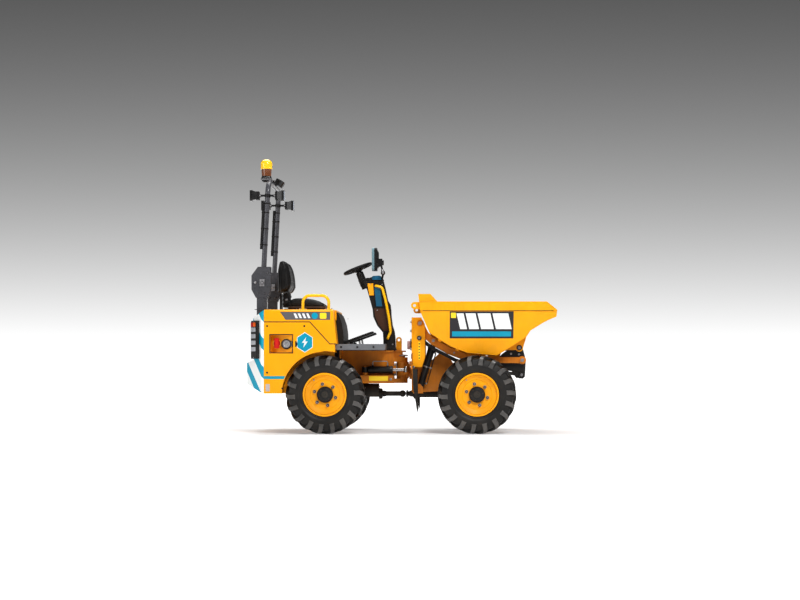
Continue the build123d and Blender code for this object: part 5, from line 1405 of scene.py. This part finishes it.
# ---------------------------------------------------------------- axles and drive
for end, x, nose in (("front", AXLE_X, -1), ("rear", -AXLE_X, 1)):
    axle = Piece(f"{end}_axle_trim", f"{end}_frame", cast, zinc)
    centre = vec(x, 0, AXLE_Z)
    for side in (-1, 1):
        out = Y * side
        for k, ray in enumerate(rays(10, 10)):
            axle.bolt(centre + out * 0.118 + ray * 0.074, out, 0.012, 1, 0.5)
            if k % 2 == 0:
                axle.bolt(centre + out * 0.3235 + ray * 0.076, -out, 0.013, 1, 0.5)
        axle.turned([(0.119, 0.062), (0.121, 0.064), (0.133, 0.060), (0.140, 0.0555)], centre, out, 36)
        axle.turned([(0.255, 0.0553), (0.262, 0.060), (0.322, 0.078)], centre, out, 36)
        pad = centre + vec(0, side * 0.200, 0.052)
        axle.flat(rounded(-0.045, 0.045, -0.030, 0.030, 0.006), pad, 0.012)
        for way in (-1, 1):
            axle.bolt(pad + vec(way * 0.032, 0, 0.012), Z, 0.014, 1)
    # drain plug, filler plug and breather
    axle.bolt(centre - Z * 0.0845, -Z, 0.020, 1, 0.4)
    axle.bolt(centre + vec(-nose * 0.099, 0.030, -0.02), X * -nose, 0.020, 1, 0.4)
    axle.turned([(0.083, 0.007), (0.100, 0.007), (0.100, 0.010), (0.108, 0.010), (0.110, 0.006),
                 (0.110, 0.0)], centre + Y * 0.08, Z, 20, 1)
    axle.done(bevel=0.0008)

MOTOR_R = 0.088
AXLE_LINE = Z * AXLE_Z
motor_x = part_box("drive_motor")[0].x
drive = Piece("drive_trim", "rear_frame", cast, zinc)
shaft = Piece("front_shaft_trim", "front_frame", cast, zinc)
for x in (motor_x + 0.030 + 0.016 * k for k in range(9)):
    if x < -0.36:
        fin = [(0, MOTOR_R), (0.0005, MOTOR_R + 0.0045), (0.0035, MOTOR_R + 0.0045), (0.004, MOTOR_R)]
        drive.turned(fin, AXLE_LINE + X * x, X, 48)
for piece, count, start, x, radius, out, size, lift in (
        (drive, 6, 15, -0.336, 0.072, X, 0.012, 0.0), (drive, 4, 45, -0.181, 0.036, -X, 0.010, 0.0),
        (drive, 4, 45, -0.2115, 0.048, X, 0.009, 0.370 - AXLE_Z),
        (shaft, 4, 45, 0.098, 0.036, -X, 0.010, 0.0)):
    for ray in rays(count, start, Y, Z):
        piece.bolt(AXLE_LINE + vec(x, 0, lift) + ray * radius, out, size, 1)
drive.turned([(0, 0.0212), (0.002, 0.028), (0.030, 0.026), (0.034, 0.0212)], AXLE_LINE - X * 0.181, X)
shaft.turned([(0, 0.0212), (0.002, 0.027), (0.030, 0.028), (0.034, 0.030)], AXLE_LINE + X * 0.062, X)
shaft.turned([(-0.006, 0.0305), (-0.004, 0.033), (0.004, 0.033), (0.006, 0.0305)], AXLE_LINE + X * 0.040, X)
drive.done(bevel=0.0006)
shaft.done(bevel=0.0006)

# ---------------------------------------------------------------- rear end and pivot
rear = Piece("rear_trim", "rear_frame", paint, zinc, amber_painted_shade)
REAR_X = -1.343
# flat cover plate low on the casting
rear.cross(rounded(-0.120, 0.120, -0.060, 0.060, 0.012), (REAR_X, 0, 0.520), X * -0.003)
for side in (-1, 1):
    for z in (0.480, 0.560):
        rear.bolt((REAR_X - 0.003, side * 0.100, z), -X, 0.014, 1, 0.25, plain=True)
    for z in (0.70, 0.95):
        rear.turned([(-0.004, 0.0), (-0.004, 0.012), (0.001, 0.014), (0.002, 0.019), (0.0, 0.020)],
                    (REAR_X + 0.063, side * 0.30, z), -X, 28, 2)
        rear.bolt((REAR_X + 0.0665, side * 0.30, z), -X, 0.014, 1, 0.5, plain=True)
    rear.bolt((-1.195, side * 0.435, 1.0575), Z, 0.014, 1)
    # pipe guard between the neck and the pivot
    rear.box((-0.079, side * 0.068 - 0.003, 0.500), (-0.058, side * 0.068 + 0.003, 0.612), 2)
    for z in (0.600, 0.512):
        rear.bolt((-0.068, side * 0.071, z), Y * side, 0.010, 1)
    # weld and worn ring of the lifting eye
    weld(rear, [(-0.058, side * 0.0105, 0.727), (-0.010, side * 0.0105, 0.727)], 0.003, 2)
    rear.turned([(0.0105, 0.0135), (0.0125, 0.016), (0.0105, 0.020)], (-0.034, 0, 0.821), Y * side)
# kingpin cap
rear.turned([(0.0, 0.046), (0.004, 0.048), (0.010, 0.044), (0.012, 0.020), (0.014, 0.0)],
            (0, 0, 0.677), Z, 32, 1)
rear.done(bevel=0.001)

# ---------------------------------------------------------------- floor, backdrop and light
WALL_Y, WALL_TOP, FLOOR_NEAR, STAGE_HALF, SWEEP = 16.0, 30.0, -40.0, 60.0, 3.0
bend = arc((WALL_Y - SWEEP, SWEEP), SWEEP, -90, 0, 9)
section = [(FLOOR_NEAR, 0.0)] + bend + [(WALL_Y, WALL_TOP)]
ground = bpy.data.meshes.new("ground")
ground.from_pydata([(side * STAGE_HALF, y, z) for y, z in section for side in (-1, 1)], [],
                   [(i, i + 1, i + 3, i + 2) for i in range(0, 2 * len(section) - 2, 2)])
for face in ground.polygons:
    face.use_smooth = True

g = Graph("studio_paper")
# the wall glows, and darkens with height; the floor takes light and shadow near the middle
rise = g.sum("MAXIMUM", g.sum("SUBTRACT", g.height, 0.6), 0.0)
glow = g.sum("EXPONENT", g.sum("MULTIPLY", rise, -0.31))
out = g.away(g.split(g.place, "X"), g.split(g.place, "Y"))
glow = g.sum("MULTIPLY", glow, g.spread(out, 3.0, 9.0, 0.22, 1.0))
lit = g.blend(g.spread(g.height, 0.0, 0.5), rgb(228, 228, 229), rgb(40, 40, 40))
g.set({"Roughness": 0.9, "Specular IOR Level": 0.1, "Emission Strength": 1.0, "Base Color": lit,
       "Emission Color": g.add("CombineColor", {0: glow, 1: glow, 2: glow})})
ground.materials.append(g.material)
studio = bpy.data.objects.new("studio_ground", ground)
scene.collection.objects.link(studio)


def light(name, place, target, size, power):
    """White area light that faces its target; size is (width, height)."""
    lamp = bpy.data.objects.new(name, bpy.data.lights.new(name, "AREA"))
    lamp.data.shape, lamp.data.size, lamp.data.size_y = "RECTANGLE", size[0], size[1]
    lamp.data.energy = power
    lamp.location = place
    lamp.rotation_euler = (Vector(target) - Vector(place)).to_track_quat("-Z", "Y").to_euler()
    scene.collection.objects.link(lamp)


light("key", (2.6, -7.0, 6.4), (0, 0, 0.7), (3.2, 2.4), 450)
light("fill", (-6.5, -5.0, 2.6), (0, 0, 0.8), (3.5, 3.0), 95)
light("top", (0.0, 0.6, 6.5), (0, 0, 0), (5.0, 3.0), 230)
light("back", (-2.0, 2.6, 5.6), (0, 0, 1.0), (4.0, 1.6), 90)
world = bpy.data.worlds.new("studio")
world.use_nodes = True
world.node_tree.nodes["Background"].inputs["Color"].default_value = (0.86, 0.87, 0.88, 1)
world.node_tree.nodes["Background"].inputs["Strength"].default_value = 0.30
scene.world = world

scene.view_settings.view_transform = "Standard"
scene.view_settings.look = "Medium High Contrast"
